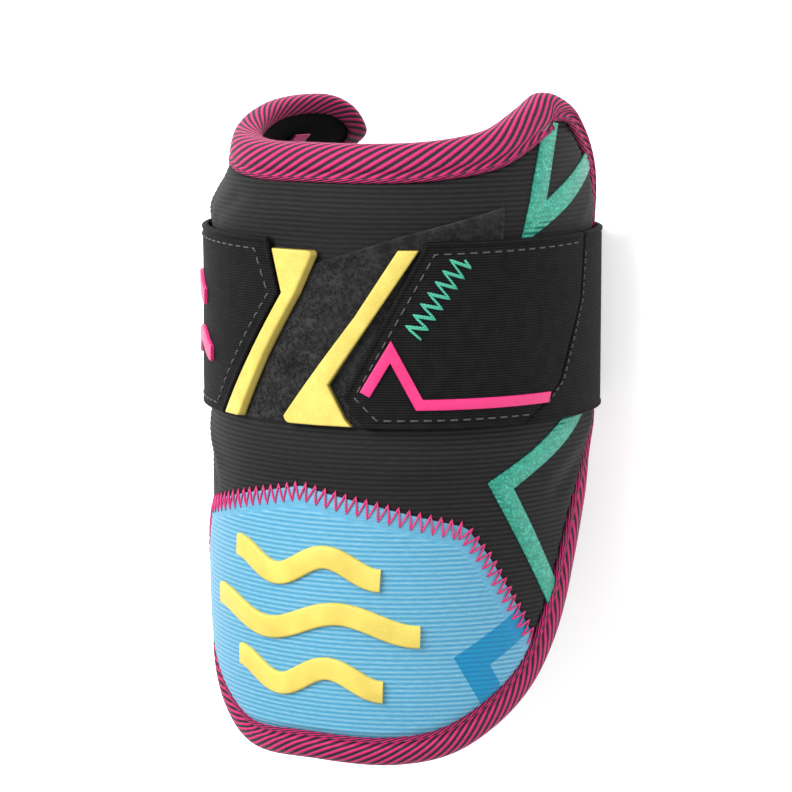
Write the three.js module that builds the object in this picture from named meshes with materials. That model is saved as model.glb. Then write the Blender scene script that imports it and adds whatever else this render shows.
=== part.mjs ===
// Elbow guard: a padded wrap worn open at the back of the arm, bound with tape and closed by a strap.
// It lies on the flat back of its strap: X across the arm, Y along it, Z up through the front.
// Millimetres. Pieces are cut as flat cloth, s round the arm from the centre line and h up the guard,
// then bent onto the section of the wall, t standing off its outer face.

import * as THREE from 'three';
import { mergeVertices } from 'three/addons/utils/BufferGeometryUtils.js';

// Driving sizes
const GUARD_LENGTH = 203;
const FRONT_RADIUS = 60;
const WING_REACH = 126;
const WALL = 7;
const CLEARANCE = 0.3;
const BINDING_WIDTH = 9.5;
const RIM_WIDTH = 11.5;
const NARROW_WIDTH = 5;
const LINING_LEAF = 0.5;
const BINDING_TAPE = 1.5;
const BINDING_BULGE = 1.2;
const EDGE_PINCH = 1.1;
const PANEL_THICKNESS = 1.0;
const EMBLEM_THICKNESS = 1.2;
const EMBLEM_STROKE = 7;
const EMBLEM_WAVE = 3.2;
const PRINT_THICKNESS = 0.5;
const PRINT_STROKE = 6.6;
const PATCH_THICKNESS = 0.9;
const STRAP_WIDTH = 56;
const STRAP_THICKNESS = 1.6;
const STRAP_RETURN_RADIUS = 8;
const TIP_THICKNESS = 2.1;
const TIP_BEVEL = 0.9;
const LINE_STROKE = 3.2;
const LINE_THICKNESS = 1.0;
const STRAP_MARK_STROKE = 5;
const TAB_WIDTH = 7;
const TAB_LENGTH = 10;
const TAB_THICKNESS = 2;
const TAB_SEAT = 0.9;

// How finely the cloth is divided
const LOOP_STEPS = 104;
const SPINE_STEPS = 17;
const SLEEVE_RINGS = 5;
const RING_CROWDING = 1.4;
const CLOTH_STEP = 5.5;
const SECTION_STEP = 1;

// Stations round the wall as shares of WING_REACH, left to right
const STATIONS = [-1, -0.84, -0.68, -0.52, -0.4, -0.26, -0.12, 0, 0.12, 0.26, 0.4, 0.52, 0.68, 0.84, 1];

// The wall's section up the guard: up is a share of GUARD_LENGTH, inset a share of FRONT_RADIUS by which
// the front stands back, bends how sharply the wall turns at each station, 1 being the front radius
const WALL_ROWS = [
  { up: 0, inset: 0.083, bends: [1, 1, 1, 1, 1, 1, 1, 1, 1, 1, 1, 1, 1, 1, 1] },
  { up: 0.12, inset: 0.025, bends: [1, 1, 1, 1, 1, 1, 1, 1, 1, 1, 1, 1, 1, 1, 1] },
  { up: 0.3, inset: 0, bends: [1.2, 1.15, 1.05, 1, 1, 1, 1, 1, 1, 1, 1, 1, 1.05, 1.15, 1.2] },
  { up: 0.42, inset: 0, bends: [1.6, 1.45, 1.1, 1, 1, 1, 1, 1, 1, 1, 1, 1, 1.1, 1.45, 1.6] },
  { up: 0.5, inset: 0.013, bends: [1.7, 1.2, 1.03, 1, 1, 1, 1, 1, 1, 1, 1, 1, 1.03, 1.2, 1.7] },
  { up: 0.8, inset: 0.013, bends: [1.7, 1.2, 1.03, 1, 1, 1, 1, 1, 1, 1, 1, 1, 1.03, 1.2, 1.7] },
  { up: 0.87, inset: 0.02, bends: [1.3, 1.02, 0.92, 1, 1.15, 1.4, 1.15, 1, 1, 1, 1, 1, 1.05, 1.2, 1.5] },
  { up: 0.93, inset: 0.027, bends: [0.75, 0.5, 0.5, 1.1, 1.8, 2.2, 1.25, 1, 1, 1, 1, 1.03, 1.08, 1.2, 1.4] },
  { up: 1, inset: 0.037, bends: [0.55, 0.25, 0.2, 0.9, 2.1, 2.9, 1.25, 1, 1, 1, 1, 1.03, 1.08, 1.2, 1.3] },
];

// The flat cloth's edge, bottom centre to top centre: out is a share of WING_REACH, up of GUARD_LENGTH,
// left the height of the same row on the left wing where it isn't the right one's
const EDGE_ROWS = [
  { out: 0, up: 0 },
  { out: 0.22, up: 0 },
  { out: 0.36, up: 0.017, left: 0.042 },
  { out: 0.5, up: 0.064, left: 0.112 },
  { out: 0.595, up: 0.112, left: 0.153 },
  { out: 0.67, up: 0.17, left: 0.2 },
  { out: 0.725, up: 0.229, left: 0.247 },
  { out: 0.775, up: 0.297 },
  { out: 0.832, up: 0.362 },
  { out: 0.92, up: 0.425 },
  { out: 0.976, up: 0.495 },
  { out: 1, up: 0.585 },
  { out: 1, up: 0.735 },
  { out: 0.97, up: 0.81, left: 0.805 },
  { out: 0.92, up: 0.86, left: 0.856 },
  { out: 0.86, up: 0.908, left: 0.9 },
  { out: 0.785, up: 0.949, left: 0.934 },
  { out: 0.7, up: 0.988, left: 0.968 },
  { out: 0.63, up: 1, left: 0.984 },
  { out: 0.565, up: 0.981, left: 0.987 },
  { out: 0.47, up: 0.951, left: 0.981 },
  { out: 0.4, up: 0.941, left: 0.968 },
  { out: 0.285, up: 0.933, left: 0.942 },
  { out: 0.14, up: 0.9305 },
  { out: 0, up: 0.9305 },
];

// Top edge of the elbow panel: out is a share of WING_REACH, up of GUARD_LENGTH
const PANEL_TOP = [
  { out: 0, up: 0.424 },
  { out: 0.17, up: 0.402 },
  { out: 0.405, up: 0.366 },
  { out: 0.47, up: 0.315 },
  { out: 0.58, up: 0.202 },
  { out: 0.66, up: 0.13 },
];

// Waves on the panel: up is a share of GUARD_LENGTH, reach of WING_REACH
const EMBLEM_WAVES = [
  { name: 'panel_wave_top', up: 0.305, reach: 0.2 },
  { name: 'panel_wave_middle', up: 0.22, reach: 0.29 },
  { name: 'panel_wave_low', up: 0.135, reach: 0.2 },
];

// Ends of the closed strap and its trims: across is a share of STRAP_WIDTH from the lower edge,
// near and far are shares of STRAP_WIDTH from the centre line, seam is a share of WING_REACH
const SEAM_ROWS = [
  { across: 0, seam: 0.54 },
  { across: 0.1, seam: 0.603 },
  { across: 0.21, seam: 0.659 },
  { across: 0.42, seam: 0.698 },
  { across: 0.63, seam: 0.738 },
  { across: 0.92, seam: 0.754 },
  { across: 1, seam: 0.755 },
];
const RIGHT_END = [
  { across: 0, near: 0.357 },
  { across: 0.17, near: 0.25 },
  { across: 1, near: 0.679 },
];
const LEFT_END = [
  { across: 0, near: -0.584 },
  { across: 0.7, near: -0.121 },
  { across: 1, near: -0.196 },
];
const RIGHT_TIP = [
  { across: 0.012, near: -0.075, far: 0.3 },
  { across: 0.05, near: -0.085, far: 0.266 },
  { across: 0.23, near: 0.046, far: 0.175 },
  { across: 0.6, near: 0.315, far: 0.415 },
  { across: 0.955, near: 0.536, far: 0.643 },
];
const LEFT_TIP = [
  { across: 0.012, near: -0.552, far: -0.4 },
  { across: 0.36, near: -0.322, far: -0.205 },
  { across: 0.71, near: -0.096, far: 0.008 },
  { across: 0.88, near: -0.14, far: 0.118 },
  { across: 0.945, near: -0.156, far: 0.09 },
];
const BENT_LINE = [
  { across: 0.19, near: 0.37 },
  { across: 0.42, near: 0.5 },
  { across: 0.135, near: 0.645 },
];

// Heights of what else lies on the wall, as shares of GUARD_LENGTH, and places round it, of WING_REACH
const STRAP_CENTRE = 0.6527;
const PATCH_TOP = [
  { out: -0.286, up: 0.69 },
  { out: 0.03, up: 0.754 },
  { out: 0.246, up: 0.798 },
  { out: 0.492, up: 0.837 },
];
const LOWER_CHEVRON = [
  { out: 0.8, up: 0.532 },
  { out: 0.496, up: 0.4236 },
  { out: 0.66, up: 0.25 },
];
const UPPER_CHEVRON = [
  { out: 0.64, up: 0.965 },
  { out: 0.612, up: 0.883 },
  { out: 0.583, up: 0.81 },
  { out: 0.88, up: 0.91 },
];
const STRAP_MARKS = [
  { name: 'strap_wave_upper', across: 0.66 },
  { name: 'strap_wave_lower', across: 0.36 },
];
const LINING_TAB_PLACE = -0.575;

// Colour and finish of each material
const FINISHES = {
  ribbed_cloth: { color: 0x262626, roughness: 0.85, metalness: 0 },
  striped_tape: { color: 0xd8438a, roughness: 0.75, metalness: 0 },
  blue_cloth: { color: 0x6fb8df, roughness: 0.7, metalness: 0 },
  loop_pile: { color: 0x1c1c1c, roughness: 0.95, metalness: 0 },
  elastic: { color: 0x2a2a2a, roughness: 0.8, metalness: 0 },
  canvas: { color: 0x303030, roughness: 0.8, metalness: 0 },
  yellow_rubber: { color: 0xf0d95c, roughness: 0.45, metalness: 0 },
  pink_rubber: { color: 0xff4fa0, roughness: 0.4, metalness: 0 },
  teal_print: { color: 0x2fa98c, roughness: 0.5, metalness: 0 },
  pink_ribbon: { color: 0xf25a9c, roughness: 0.6, metalness: 0 },
};

// Smooth value at a place in a table, never swinging past its rows
function smoothAt(places, values, place) {
  const last = places.length - 1;
  const at = Math.min(Math.max(place, places[0]), places[last]);
  let row = 0;
  while (row < last - 1 && at > places[row + 1]) {
    row += 1;
  }
  const slope = (i) => (values[i + 1] - values[i]) / (places[i + 1] - places[i]);
  const tangent = (i) => {
    if (i === 0 || i === last) {
      return slope(Math.min(i, last - 1));
    }
    const before = slope(i - 1);
    const after = slope(i);
    return before * after > 0 ? (2 * before * after) / (before + after) : 0;
  };
  const width = places[row + 1] - places[row];
  const t = (at - places[row]) / width;
  const start = values[row] * (1 + 2 * t) * (1 - t) ** 2 + tangent(row) * width * t * (1 - t) ** 2;
  const end = values[row + 1] * t * t * (3 - 2 * t) + tangent(row + 1) * width * t * t * (t - 1);
  return start + end;
}

// Straight-line value at a place in a table
function linearAt(places, values, place) {
  const last = places.length - 1;
  let row = 0;
  while (row < last - 1 && place > places[row + 1]) {
    row += 1;
  }
  const t = (place - places[row]) / (places[row + 1] - places[row]);
  return values[row] + (values[row + 1] - values[row]) * Math.min(Math.max(t, 0), 1);
}

// The wall's section at a height: places and headings every SECTION_STEP from the centre line out
const sections = new Map();

function wallSection(height) {
  const key = Math.round(height * 10) / 10;
  if (sections.has(key)) {
    return sections.get(key);
  }
  const ups = WALL_ROWS.map((row) => row.up);
  const up = key / GUARD_LENGTH;
  const inset = smoothAt(ups, WALL_ROWS.map((row) => row.inset), up) * FRONT_RADIUS;
  const bends = STATIONS.map((_, i) => smoothAt(ups, WALL_ROWS.map((row) => row.bends[i]), up));
  const walk = (side) => {
    const points = [{ x: 0, z: FRONT_RADIUS - inset, heading: 0 }];
    const steps = Math.ceil(WING_REACH / SECTION_STEP) + 4;
    for (let i = 0; i < steps; i += 1) {
      const here = points[i];
      const station = (side * (i + 0.5) * SECTION_STEP) / WING_REACH;
      const turn = (side * SECTION_STEP * linearAt(STATIONS, bends, station)) / FRONT_RADIUS;
      const middle = here.heading + turn / 2;
      points.push({
        x: here.x + side * SECTION_STEP * Math.cos(middle),
        z: here.z - side * SECTION_STEP * Math.sin(middle),
        heading: here.heading + turn,
      });
    }
    return points;
  };
  const section = { right: walk(1), left: walk(-1) };
  sections.set(key, section);
  return section;
}

// A place on the wall's section, at s round it from the centre line
function onSection(section, s) {
  const points = s < 0 ? section.left : section.right;
  const steps = Math.min(Math.abs(s) / SECTION_STEP, points.length - 1.001);
  const i = Math.floor(steps);
  const t = steps - i;
  const mix = (name) => points[i][name] * (1 - t) + points[i + 1][name] * t;
  return { x: mix('x'), z: mix('z'), heading: mix('heading') };
}

function standOff(place, h, t) {
  return new THREE.Vector3(
    place.x + t * Math.sin(place.heading),
    h,
    place.z + t * Math.cos(place.heading),
  );
}

function onWall(s, h, t) {
  return standOff(onSection(wallSection(h), s), h, t);
}

// The strap's loop lies on the wall as far as the wings' ends, turns in over them and crosses flat
const strapSection = wallSection(STRAP_CENTRE * GUARD_LENGTH);
const strapLow = STRAP_CENTRE * GUARD_LENGTH - STRAP_WIDTH / 2;
const wingEnd = onSection(strapSection, WING_REACH);
const returnTurn = Math.PI - wingEnd.heading;
const returnCentre = {
  x: wingEnd.x - STRAP_RETURN_RADIUS * Math.sin(wingEnd.heading),
  z: wingEnd.z - STRAP_RETURN_RADIUS * Math.cos(wingEnd.heading),
};
const returnEnd = WING_REACH + STRAP_RETURN_RADIUS * returnTurn;
const strapHalfLoop = returnEnd + returnCentre.x;
const strapSeat = Math.max(BINDING_BULGE, CLEARANCE + PATCH_THICKNESS) + CLEARANCE;
const strapFace = strapSeat + STRAP_THICKNESS;

// A place on the strap's loop; s may run past the back centre and come round the other side
function onStrap(s, h, t) {
  if (s > strapHalfLoop) {
    const mirrored = onStrap(2 * strapHalfLoop - s, h, t);
    mirrored.x = -mirrored.x;
    return mirrored;
  }
  if (s <= WING_REACH) {
    return standOff(onSection(strapSection, s), h, t);
  }
  if (s <= returnEnd) {
    const heading = wingEnd.heading + (s - WING_REACH) / STRAP_RETURN_RADIUS;
    const place = {
      x: returnCentre.x + STRAP_RETURN_RADIUS * Math.sin(heading),
      z: returnCentre.z + STRAP_RETURN_RADIUS * Math.cos(heading),
      heading,
    };
    return standOff(place, h, t);
  }
  const flat = { x: strapHalfLoop - s, z: returnCentre.z - STRAP_RETURN_RADIUS, heading: Math.PI };
  return standOff(flat, h, t);
}

// Triangles gathered into one closed solid, welded where they meet and with its faces outward
class Skin {
  constructor() {
    this.corners = [];
  }

  triangle(a, b, c) {
    this.corners.push(a.x, a.y, a.z, b.x, b.y, b.z, c.x, c.y, c.z);
  }

  quad(a, b, c, d) {
    this.triangle(a, b, c);
    this.triangle(a, c, d);
  }

  // The same, split along its shorter diagonal
  fairQuad(a, b, c, d) {
    if (a.distanceTo(c) < b.distanceTo(d)) {
      this.quad(a, b, c, d);
    } else {
      this.quad(b, c, d, a);
    }
  }

  solid() {
    const loose = new THREE.BufferGeometry();
    loose.setAttribute('position', new THREE.Float32BufferAttribute(this.corners, 3));
    const welded = mergeVertices(loose, 1e-4);
    const position = welded.getAttribute('position');
    const corner = (i) => new THREE.Vector3().fromBufferAttribute(position, i);
    const kept = [];
    let volume = 0;
    for (let i = 0; i < welded.index.count; i += 3) {
      const [a, b, c] = [0, 1, 2].map((n) => welded.index.getX(i + n));
      if (a !== b && b !== c && c !== a) {
        kept.push(a, b, c);
        volume += corner(a).dot(corner(b).cross(corner(c)));
      }
    }
    welded.setIndex(volume < 0 ? kept.reverse() : kept);
    welded.computeVertexNormals();
    return welded;
  }
}

// A slab between a front grid and a back grid of the same size
function slab(front, back) {
  const skin = new Skin();
  const rows = front.length - 1;
  const columns = front[0].length - 1;
  for (let i = 0; i < rows; i += 1) {
    for (let j = 0; j < columns; j += 1) {
      skin.quad(front[i][j], front[i + 1][j], front[i + 1][j + 1], front[i][j + 1]);
      skin.quad(back[i][j], back[i][j + 1], back[i + 1][j + 1], back[i + 1][j]);
    }
    skin.quad(front[i + 1][0], front[i][0], back[i][0], back[i + 1][0]);
    skin.quad(front[i][columns], front[i + 1][columns], back[i + 1][columns], back[i][columns]);
  }
  for (let j = 0; j < columns; j += 1) {
    skin.quad(front[0][j], front[0][j + 1], back[0][j + 1], back[0][j]);
    skin.quad(front[rows][j + 1], front[rows][j], back[rows][j], back[rows][j + 1]);
  }
  return skin.solid();
}

// A closed section carried through a list of places, joined end to start or capped
function sweep(stages, closed) {
  const skin = new Skin();
  const last = closed ? stages.length : stages.length - 1;
  const sides = stages[0].length;
  for (let i = 0; i < last; i += 1) {
    const here = stages[i];
    const next = stages[(i + 1) % stages.length];
    for (let j = 0; j < sides; j += 1) {
      const k = (j + 1) % sides;
      skin.quad(here[j], next[j], next[k], here[k]);
    }
  }
  if (!closed) {
    const end = stages[stages.length - 1];
    for (let j = 1; j < sides - 1; j += 1) {
      skin.triangle(stages[0][0], stages[0][j], stages[0][j + 1]);
      skin.triangle(end[0], end[j + 1], end[j]);
    }
  }
  return skin.solid();
}

// Cloth between a left and a right edge, laid with its back and face at their stand-offs
function clothPiece(leftEdge, rightEdge, place, back, face) {
  const widest = Math.max(...leftEdge.map((left, i) => Math.abs(rightEdge[i].s - left.s)));
  const columns = Math.max(2, Math.ceil(widest / CLOTH_STEP));
  const layer = (t) => leftEdge.map((left, i) => {
    const right = rightEdge[i];
    return Array.from({ length: columns + 1 }, (_, j) => {
      const share = j / columns;
      const s = left.s + (right.s - left.s) * share;
      const h = left.h + (right.h - left.h) * share;
      return place(s, h, t);
    });
  });
  return slab(layer(face), layer(back));
}

// A flat line of points with more put in between them, none further apart than CLOTH_STEP
function divided(points) {
  const line = [points[0]];
  for (let i = 1; i < points.length; i += 1) {
    const from = points[i - 1];
    const to = points[i];
    const parts = Math.ceil(Math.hypot(to.s - from.s, to.h - from.h) / CLOTH_STEP);
    for (let n = 1; n <= parts; n += 1) {
      const share = n / parts;
      line.push({ s: from.s + (to.s - from.s) * share, h: from.h + (to.h - from.h) * share });
    }
  }
  return line;
}

// A bar of even width along a flat line, mitred at its bends, with its upper corners taken off
function stroke(points, width, place, back, face, bevel) {
  const line = divided(points);
  const unit = (from, to) => {
    const length = Math.hypot(to.s - from.s, to.h - from.h);
    return { s: (to.s - from.s) / length, h: (to.h - from.h) / length };
  };
  const stages = line.map((point, i) => {
    const before = unit(line[Math.max(i - 1, 0)], line[Math.max(i, 1)]);
    const after = unit(line[Math.min(i, line.length - 2)], line[Math.min(i + 1, line.length - 1)]);
    const across = { s: -(before.h + after.h), h: before.s + after.s };
    const squared = across.s ** 2 + across.h ** 2;
    const corner = (share, t) => {
      const reach = (2 * share * width) / squared;
      return place(point.s + across.s * reach, point.h + across.h * reach, t);
    };
    const inner = 0.5 - bevel / width;
    return [
      corner(-0.5, back),
      corner(-0.5, face - bevel),
      corner(-inner, face),
      corner(inner, face),
      corner(0.5, face - bevel),
      corner(0.5, back),
    ];
  });
  return sweep(stages, false);
}

// The flat cloth's edge as LOOP_STEPS evenly spaced points from the bottom centre, with the way inward
function clothEdge() {
  const corner = (out, up) => new THREE.Vector3(out * WING_REACH, up * GUARD_LENGTH, 0);
  const right = EDGE_ROWS.map((row) => corner(row.out, row.up));
  const left = EDGE_ROWS.slice(1, -1).map((row) => corner(-row.out, row.left ?? row.up));
  const curve = new THREE.CatmullRomCurve3([...right, ...left.reverse()], true, 'centripetal');
  const points = curve.getSpacedPoints(LOOP_STEPS).slice(0, LOOP_STEPS);
  return points.map((point, i) => {
    const before = points[(i + LOOP_STEPS - 1) % LOOP_STEPS];
    const after = points[(i + 1) % LOOP_STEPS];
    const along = after.clone().sub(before).normalize();
    return { s: point.x, h: point.y, inS: -along.y, inH: along.x };
  });
}

const edge = clothEdge();

// The tape is broader over the middle of the rim than down the sides and round the lower edge, and
// turns in to a narrow leaf down the right wing's upper back edge
function tapeWidth(s, h) {
  const up = h / GUARD_LENGTH;
  const onRim = linearAt([0.78, 0.9], [0, 1], up);
  const towardsMiddle = linearAt([0.62, 0.76], [1, 0], Math.abs(s) / WING_REACH);
  const broad = BINDING_WIDTH + (RIM_WIDTH - BINDING_WIDTH) * onRim * towardsMiddle;
  const narrowed = linearAt([0.62, 0.74], [0, 1], s / WING_REACH) * linearAt([0.6, 0.78], [0, 1], up);
  return broad + (NARROW_WIDTH - broad) * narrowed;
}

function insideEdge(i, distance) {
  const point = edge[i];
  return { s: point.s + point.inS * distance, h: point.h + point.inH * distance };
}

function distanceFromEdge(s, h) {
  return Math.min(...edge.map((point, i) => {
    const next = edge[(i + 1) % LOOP_STEPS];
    const run = { s: next.s - point.s, h: next.h - point.h };
    const along = ((s - point.s) * run.s + (h - point.h) * run.h) / (run.s ** 2 + run.h ** 2);
    const share = Math.min(Math.max(along, 0), 1);
    return Math.hypot(s - point.s - run.s * share, h - point.h - run.h * share);
  }));
}

// The furthest place on the way from one point to another that a stroke can reach beside the tape
function stopAtTape(from, to, width) {
  const steps = 80;
  let reached = from;
  for (let n = 1; n <= steps; n += 1) {
    const s = from.s + ((to.s - from.s) * n) / steps;
    const h = from.h + ((to.h - from.h) * n) / steps;
    if (distanceFromEdge(s, h) < tapeWidth(s, h) + CLEARANCE + width / 2) {
      return reached;
    }
    reached = { s, h };
  }
  return reached;
}

// The padded wall: rings from the taped edge in to a spine across the middle, outer and inner face
function sleeve() {
  const half = LOOP_STEPS / 2;
  const spine = edge.map((point, i) => {
    const turn = i <= half ? i : LOOP_STEPS - i;
    const rank = Math.min(turn, half - turn, SPINE_STEPS);
    const out = (edge[rank].s + edge[half - rank].s) / 2;
    const up = (edge[rank].h + edge[half - rank].h) / 2;
    return { s: i <= half ? out : -out, h: up };
  });
  const near = edge.map((point, i) => insideEdge(i, BINDING_TAPE + CLEARANCE));
  const lipAt = (point, leaf) => tapeWidth(point.s, point.h) * leaf + CLEARANCE;
  const lip = edge.map((point, i) => insideEdge(i, lipAt(point, 1)));
  const open = edge.map((point, i) => insideEdge(i, lipAt(point, 1) + EDGE_PINCH * 1.5));
  const liningLip = edge.map((point, i) => insideEdge(i, lipAt(point, LINING_LEAF)));
  const liningOpen = edge.map((point, i) => insideEdge(i, lipAt(point, LINING_LEAF) + EDGE_PINCH * 1.5));
  const rings = [near, lip, open];
  const depths = [EDGE_PINCH, EDGE_PINCH, 0];
  for (let n = 1; n <= SLEEVE_RINGS; n += 1) {
    const share = (n / SLEEVE_RINGS) ** RING_CROWDING;
    rings.push(open.map((point, i) => ({
      s: point.s + (spine[i].s - point.s) * share,
      h: point.h + (spine[i].h - point.h) * share,
    })));
    depths.push(0);
  }
  const outer = rings.map((ring, r) => ring.map(({ s, h }) => onWall(s, h, -depths[r])));
  const liningRings = [near, liningLip, liningOpen, ...rings.slice(3)];
  const inner = liningRings.map((ring, r) => ring.map(({ s, h }) => onWall(s, h, depths[r] - WALL)));
  const skin = new Skin();
  for (let i = 0; i < LOOP_STEPS; i += 1) {
    const k = (i + 1) % LOOP_STEPS;
    skin.quad(outer[0][i], outer[0][k], outer[1][k], outer[1][i]);
    skin.quad(inner[1][i], inner[1][k], inner[0][k], inner[0][i]);
    for (let r = 1; r < rings.length - 1; r += 1) {
      skin.fairQuad(outer[r][i], outer[r][k], outer[r + 1][k], outer[r + 1][i]);
      skin.fairQuad(inner[r + 1][i], inner[r + 1][k], inner[r][k], inner[r][i]);
    }
    skin.quad(outer[0][k], outer[0][i], inner[0][i], inner[0][k]);
  }
  return skin.solid();
}

// Tape folded over the wall's edge all the way round, its roll standing a little proud of both faces
function edgeBinding() {
  const stages = edge.map((point, i) => {
    const width = tapeWidth(point.s, point.h);
    const leaf = width * LINING_LEAF;
    const corner = (distance, t) => {
      const { s, h } = insideEdge(i, distance);
      return onWall(s, h, t);
    };
    const lipFace = BINDING_BULGE * 0.3;
    const seat = EDGE_PINCH - CLEARANCE;
    return [
      corner(width, -seat),
      corner(width, lipFace),
      corner(width * 0.75, BINDING_BULGE * 0.85),
      corner(width * 0.42, BINDING_BULGE),
      corner(width * 0.12, BINDING_BULGE * 0.2),
      corner(0, -WALL * 0.28),
      corner(0, -WALL * 0.72),
      corner(leaf * 0.15, -WALL - BINDING_BULGE * 0.2),
      corner(leaf * 0.45, -WALL - BINDING_BULGE * 0.8),
      corner(leaf * 0.75, -WALL - BINDING_BULGE * 0.75),
      corner(leaf, -WALL - lipFace),
      corner(leaf, -WALL + seat),
      corner(BINDING_TAPE, -WALL + seat),
      corner(BINDING_TAPE, -seat),
    ];
  });
  return sweep(stages, true);
}

// The shield-shaped panel over the elbow, from the lower tape up to its angled top edge
function elbowPanel() {
  const outs = PANEL_TOP.map((row) => row.out * WING_REACH);
  const ups = PANEL_TOP.map((row) => row.up * GUARD_LENGTH);
  const low = [];
  const top = [];
  for (let n = -LOOP_STEPS / 4; n <= LOOP_STEPS / 4; n += 1) {
    const i = (n + LOOP_STEPS) % LOOP_STEPS;
    const foot = insideEdge(i, tapeWidth(edge[i].s, edge[i].h) + CLEARANCE);
    const height = linearAt(outs, ups, Math.abs(foot.s));
    if (height - foot.h > PANEL_THICKNESS && Math.abs(foot.s) < outs[outs.length - 1]) {
      low.push(foot);
      top.push({ s: foot.s, h: height });
    }
  }
  const rows = 6;
  const layer = (t) => low.map((foot, i) => Array.from({ length: rows + 1 }, (_, j) => {
    const share = j / rows;
    return onWall(foot.s, foot.h + (top[i].h - foot.h) * share, t);
  }));
  return slab(layer(CLEARANCE + PANEL_THICKNESS), layer(CLEARANCE));
}

// A wave of one and a half swings about a level line
function wavePoints(middle, height, reach, swing) {
  const steps = 14;
  return Array.from({ length: steps + 1 }, (_, n) => {
    const share = (2 * n) / steps - 1;
    return { s: middle + reach * share, h: height + swing * Math.sin(share * Math.PI * 1.5) };
  });
}

function panelWave({ up, reach }) {
  const seat = CLEARANCE + PANEL_THICKNESS + CLEARANCE;
  const points = wavePoints(0, up * GUARD_LENGTH, reach * WING_REACH, EMBLEM_WAVE);
  return stroke(points, EMBLEM_STROKE, onWall, seat, seat + EMBLEM_THICKNESS, EMBLEM_THICKNESS / 2);
}

// Loop pile under the strap's ends, its top edge showing as a slanting step above them
function loopPatch() {
  const low = strapLow + CLEARANCE;
  const outs = PATCH_TOP.map((row) => row.out * WING_REACH);
  const ups = PATCH_TOP.map((row) => row.up * GUARD_LENGTH);
  const [start, end] = [outs[0], outs[outs.length - 1]];
  const columns = Math.ceil((end - start) / CLOTH_STEP);
  const rows = 4;
  const layer = (t) => Array.from({ length: columns + 1 }, (_, i) => {
    const s = start + ((end - start) * i) / columns;
    const top = Math.max(linearAt(outs, ups, s), low + PATCH_THICKNESS);
    return Array.from({ length: rows + 1 }, (__, j) => onWall(s, low + ((top - low) * j) / rows, t));
  });
  return slab(layer(CLEARANCE + PATCH_THICKNESS), layer(CLEARANCE));
}

// Chevrons printed on the wall, beside the tape and running under the strap
function flatPoints(rows) {
  return rows.map(({ out, up }) => ({ s: out * WING_REACH, h: up * GUARD_LENGTH }));
}

function lowerChevron() {
  const [top, tip, foot] = flatPoints(LOWER_CHEVRON);
  const end = stopAtTape(tip, foot, PRINT_STROKE);
  const face = CLEARANCE + PRINT_THICKNESS;
  return stroke([top, tip, end], PRINT_STROKE, onWall, CLEARANCE, face, PRINT_THICKNESS / 3);
}

function upperChevron() {
  const [top, bend, tip, far] = flatPoints(UPPER_CHEVRON);
  const points = [stopAtTape(bend, top, PRINT_STROKE), bend, tip, stopAtTape(tip, far, PRINT_STROKE)];
  const face = CLEARANCE + PRINT_THICKNESS;
  return stroke(points, PRINT_STROKE, onWall, CLEARANCE, face, PRINT_THICKNESS / 3);
}

// Rows across the strap from a table of its ends, with the seam that ends the canvas
function acrossStrap(rows, name, unit) {
  const places = rows.map((row) => row.across);
  const values = rows.map((row) => row[name] * unit);
  return (across) => linearAt(places, values, across);
}

const seamAt = acrossStrap(SEAM_ROWS, 'seam', WING_REACH);

function strapRow(across) {
  return strapLow + across * STRAP_WIDTH;
}

// Elastic from the right seam round the flat back to the left seam
function strapBand() {
  const left = SEAM_ROWS.map(({ across }) => ({ s: seamAt(across) + CLEARANCE, h: strapRow(across) }));
  const right = left.map(({ s, h }) => ({ s: 2 * strapHalfLoop - s, h }));
  return clothPiece(left, right, onStrap, strapSeat, strapFace);
}

// Places across the strap that take in every row of two tables, with none far apart
function placesAcross(rows, others) {
  const given = [...new Set([...rows, ...others].map((row) => row.across))].sort((a, b) => a - b);
  const line = divided(given.map((across) => ({ s: 0, h: across * STRAP_WIDTH })));
  return line.map((point) => point.h / STRAP_WIDTH);
}

// Canvas end of the strap, from its slanted edge in front to its seam with the elastic
function strapEnd(rows, side) {
  const nearAt = acrossStrap(rows, 'near', STRAP_WIDTH);
  const places = placesAcross(rows, SEAM_ROWS);
  const front = places.map((across) => ({ s: nearAt(across), h: strapRow(across) }));
  const seam = places.map((across) => ({ s: side * seamAt(across), h: strapRow(across) }));
  return clothPiece(front, seam, onStrap, strapSeat, strapFace);
}

// Moulded tip beside a strap end, with the corners of its face taken off
function strapTip(rows) {
  const nearAt = acrossStrap(rows, 'near', STRAP_WIDTH);
  const farAt = acrossStrap(rows, 'far', STRAP_WIDTH);
  const back = CLEARANCE + PATCH_THICKNESS + CLEARANCE;
  const face = back + TIP_THICKNESS;
  const stages = placesAcross(rows, []).map((across) => {
    const near = nearAt(across);
    const far = farAt(across);
    const middle = (near + far) / 2;
    const inner = Math.max((far - near) / 2 - TIP_BEVEL, 0.2);
    const h = strapRow(across);
    return [
      onStrap(near, h, back),
      onStrap(near, h, face - TIP_BEVEL),
      onStrap(middle - inner, h, face),
      onStrap(middle, h, face),
      onStrap(middle + inner, h, face),
      onStrap(far, h, face - TIP_BEVEL),
      onStrap(far, h, back),
      onStrap(middle, h, back),
    ];
  });
  return sweep(stages, false);
}

// Raised bent line on the right strap end, running out level towards the seam
function bentLine() {
  const points = BENT_LINE.map(({ across, near }) => ({ s: near * STRAP_WIDTH, h: strapRow(across) }));
  const level = BENT_LINE[BENT_LINE.length - 1].across;
  points.push({ s: seamAt(level) - LINE_STROKE * 0.3, h: strapRow(level) });
  const seat = strapFace + CLEARANCE;
  return stroke(points, LINE_STROKE, onStrap, seat, seat + LINE_THICKNESS, LINE_THICKNESS / 2);
}

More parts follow.
